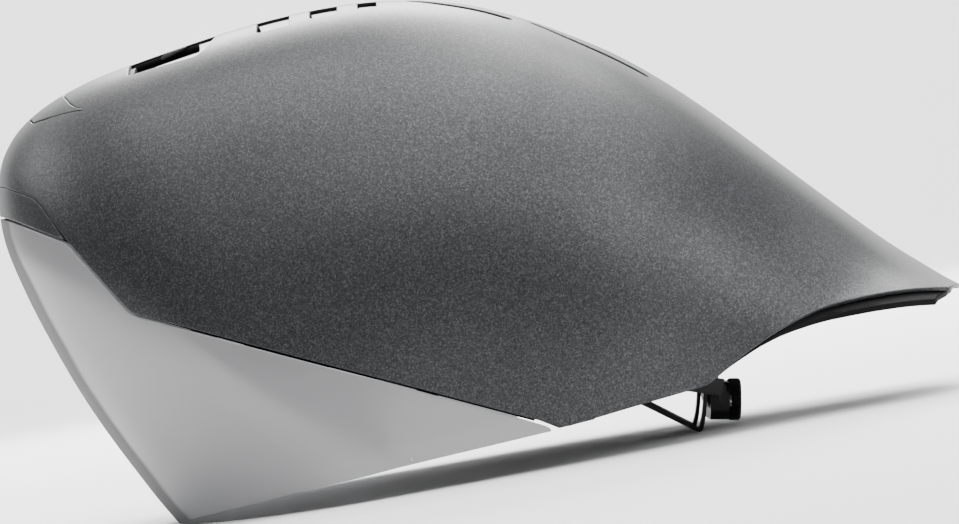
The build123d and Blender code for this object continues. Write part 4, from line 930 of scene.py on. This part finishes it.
_front = wall_side(0)
pad_piece("brow_pad", [soft_pad(round_box(-63, 63, 16.6, 31.4, 5), _front, 4.9, cells=[(0, u) for u in (-42, -21, 0, 21, 42)])])
pad_piece("crown_pads", [soft_pad(round_box(28 - 22.5, 28 + 22.5, s * 18 - 7.2, s * 18 + 7.2, 7), wall_top, 4.9, cells=[(0, 16), (0, 28), (0, 40)], seed=5 + s)
                         for s in (-1, 1)])
pad_piece("side_pads", [soft_pad(round_box(*sorted((-s * 37.0, -s * 71.0)), 8.6, 23.4, 5), wall_side(s), 4.9, cells=[(0, -s * 54)], seed=9 + s)
                        for s in (-1, 1)])

# ------------------------------------------------------------------ rear dial, turned with ribs and softened edges
DIAL_X, DIAL_Z = side(727, 399)
AFT3, UP3 = np.array([CT, 0, -ST]), np.array([ST, 0, CT])


def turned(name, prof, seg, ribs=0):
    """closed turned piece round the dial's axis; prof is (distance aft, radius, share of the rib cut)"""
    o = np.array([DIAL_X, 0, DIAL_Z])
    rows_ = []
    th = np.arange(seg) * 2 * math.pi / seg
    wave = np.clip(0.5 - 0.5 * np.cos(th * ribs), 0, 1) ** 2.2 if ribs else np.zeros(seg)
    verts = []
    for d, r, cut in prof:
        rr = r - 0.85 * cut * wave
        verts.append(o + AFT3 * d + np.outer(rr * np.cos(th), [0, 1, 0]) + np.outer(rr * np.sin(th), UP3))
    faces = []
    for k in range(len(prof) - 1):
        for q in range(seg):
            a, b = k * seg + q, k * seg + (q + 1) % seg
            faces.append((a, b, b + seg, a + seg))
    faces.append(tuple(range(seg))[::-1])
    faces.append(tuple(range((len(prof) - 1) * seg, len(prof) * seg)))
    return mesh_object(name, np.vstack(verts) / 1000.0, faces)


dial = turned("ribbed_dial", [(3.1, 1.55, 0), (0.1, 1.56, 0), (0.1, 6.4, 0), (0.16, 6.8, 0.1), (0.4, 7.2, 0.5), (0.8, 7.5, 0.95), (1.2, 7.6, 1), (2.6, 7.62, 1),
                             (4.0, 7.6, 1), (4.45, 7.48, 0.95), (4.8, 7.15, 0.6), (5.02, 6.7, 0.2), (5.1, 6.3, 0), (5.1, 6.0, 0), (5.04, 5.8, 0), (4.85, 5.66, 0),
                             (4.15, 5.55, 0), (4.0, 5.4, 0), (3.96, 5.0, 0), (3.96, 2.7, 0), (4.02, 2.45, 0), (4.3, 2.3, 0), (4.45, 2.1, 0), (4.5, 1.8, 0), (4.5, 0.02, 0)],
              572, 44)
dress(dial, M_DIAL)
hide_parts("fit_dial")
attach(dial, "dial_unit")


def ribbon_outline(line, radii, halves):
    """closed outline, in pixels, of a bar that follows a line; halves gives its half thickness in pixels at the ends of the line"""
    c = path(line, radii, 0.7)
    t = np.gradient(c, axis=0)
    t /= np.linalg.norm(t, axis=1, keepdims=True)
    l = np.concatenate([[0], np.cumsum(np.linalg.norm(np.diff(c, axis=0), axis=1))])
    h = np.interp(l / l[-1], np.linspace(0, 1, len(halves)), halves)[:, None]
    nrm = np.stack([-t[:, 1], t[:, 0]], 1) * h
    return [tuple(q) for q in np.vstack([c + nrm, (c - nrm)[::-1]])]


ARM = [(618.0, 390.0), (646.0, 402.6), (688.0, 423.4), (697.6, 428.0), (700.6, 416.0), (702.0, 402.0), (702.6, 386.0)]
arms = [plate("cradle_arm_" + n_, ribbon_outline(ARM, [1, 8, 6, 3.4, 6, 6, 1], [2.6, 2.7, 2.7, 2.4, 1.9, 1.8]), *sorted((sg * 19.6, sg * 25.6)), bevel=0.55)
        for n_, sg in (("right", 1), ("left", -1))]
arms.append(plate("cradle_front_tie", [(616.0, 387.4), (629.0, 393.0), (627.0, 397.6), (614.6, 392.2)], -25.6, 25.6, bevel=0.5))
arms.append(plate("cradle_rear_tie", [(700.2, 382.6), (709.6, 382.6), (709.6, 392.5), (706.0, 394.6), (700.2, 391.0)], -25.6, 25.6, bevel=0.5))
arms.append(plate("housing_nose", [(708.6, 382.2), (706.0, 383.4), (704.2, 386.6), (703.8, 396.0), (705.4, 402.0), (708.6, 408.4)], -21.5, 21.5, bevel=0.7))
for ob in arms:
    dress(ob, M_NYLON)
    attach(ob, "cradle_unit")
    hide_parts("cradle")


def bending(node, m):
    """copy of a carried-over strap: the original is hidden, the copy gets its finish and its placement is baked into
    its mesh
    """
    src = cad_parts[node]
    ob = bpy.data.objects.new("bending_" + node, src.data.copy())
    bpy.context.scene.collection.objects.link(ob)
    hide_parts(node)
    dress(ob, m)
    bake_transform(ob)
    return ob


for s_, n_ in ((-1, "fit_belt_left"), (1, "fit_belt_right")):
    lo_, hi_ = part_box(n_)
    bending(n_, M_NYLON)
bending("chin_strap_right", M_WEB)

# ------------------------------------------------------------------ carried-over pieces
FINISH = {
    "eps_liner": M_FOAM, "vent_spine": M_SPINE, "front_scoop": M_SPINE, "shield_tabs": M_TRIM, "shield_magnets": M_MAGNET, "magnet_keepers": M_STEEL,
}
for n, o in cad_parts.items():
    if o.hide_render:
        continue
    if n in FINISH:
        m = FINISH[n]
    elif "pad" in n:
        m = M_PAD
    elif "strap" in n and "anchor" not in n:
        m = M_WEB
    elif "dial" in n and "spindle" not in n:
        m = M_DIAL
    elif any(k in n for k in ("screw", "pin", "spindle", "anchor")) and n != "pinion":
        m = M_STEEL if "anchor" not in n else M_NYLON
    else:
        m = M_NYLON
    dress(o, m)
    fine = o.modifiers.new("edge", "BEVEL")
    fine.width = 0.00022
    fine.segments = 2
    fine.limit_method = "ANGLE"
    fine.angle_limit = math.radians(38)
    fine.use_clamp_overlap = True

# ------------------------------------------------------------------ floor, light and camera
def backdrop():
    prof = [(-6.0, 0.0), (2.2, 0.0)]
    R = 1.6
    prof += [(2.2 + R * math.sin(t), R - R * math.cos(t)) for t in np.linspace(0.04, math.pi / 2, 24)]
    prof += [(2.2 + R, 7.0)]
    verts = [(x, y, z) for y, z in prof for x in (-9.0, 9.0)]
    faces = [(2 * k, 2 * k + 1, 2 * k + 3, 2 * k + 2) for k in range(len(prof) - 1)]
    ob = mesh_object("floor_sweep", verts, faces)
    m, nt, b, out = nodes_of("floor_white")
    n = put(nt, "ShaderNodeTexNoise", {"Vector": coords(nt), "Scale": 3.0, "Detail": 2.0})
    nt.links.new(ramp(nt, n.outputs[0], [(0.0, 0.86), (1.0, 0.90)]), b.inputs["Base Color"])
    setp(b, rough=0.75, spec=0.2)
    dress(ob, m)
    return ob


backdrop()


def softbox(name, where, target, size, watts, tint=(1, 1, 1)):
    d = bpy.data.lights.new(name, "AREA")
    d.shape = "RECTANGLE"
    d.size, d.size_y = size
    d.energy = watts
    d.color = tint
    o = bpy.data.objects.new(name, d)
    bpy.context.scene.collection.objects.link(o)
    o.location = where
    o.rotation_euler = (Vector(target) - Vector(where)).to_track_quat("-Z", "Y").to_euler()
    return o


softbox("back_wash", (0.0, 1.6, 2.3), (0.0, 3.4, 0.6), (4.5, 1.2), 225)
softbox("back_box", (0.0, 1.7, 1.1), (0.02, 0.0, 0.09), (0.8, 0.6), 50)
softbox("top_box", (0.0, -0.1, 1.55), (0.02, 0.0, 0.09), (1.3, 1.0), 25)
softbox("top_back_box", (0.5, 0.75, 1.35), (0.02, 0.0, 0.09), (0.7, 0.8), 15)
softbox("top_rear_box", (0.75, 0.0, 1.3), (0.02, 0.0, 0.09), (0.9, 0.9), 11)
softbox("side_box", (0.0, -1.0, 1.3), (0.02, 0.0, 0.09), (1.2, 0.8), 14)
softbox("rear_side_box", (1.1, -0.9, 1.0), (0.02, 0.0, 0.09), (0.8, 0.8), 12.5)
softbox("rear_low_box", (1.8, -0.4, 0.5), (0.02, 0.0, 0.09), (0.8, 0.7), 16)
softbox("front_box", (-1.3, 0.3, 1.1), (0.02, 0.0, 0.09), (0.8, 0.8), 9.5)

world = bpy.data.worlds.new("studio")
bpy.context.scene.world = world
world.use_nodes = True
bg = world.node_tree.nodes.get("Background")
bg.inputs[0].default_value = (1, 1, 1, 1)
bg.inputs[1].default_value = 0.03

cam_data = bpy.data.cameras.new("camera")
cam = bpy.data.objects.new("camera", cam_data)
bpy.context.scene.collection.objects.link(cam)
cam_data.sensor_width = 36.0
cam_data.lens = 36.0 * VIEW_D / (959 * S)
cam_data.clip_start, cam_data.clip_end = 0.05, 60.0
cam.matrix_world = Matrix(((CT, ST, 0, 0.0), (0, 0, -1, -VIEW_D / 1000.0), (-ST, CT, 0, -FLOOR / 1000.0), (0, 0, 0, 1)))
bpy.context.scene.camera = cam
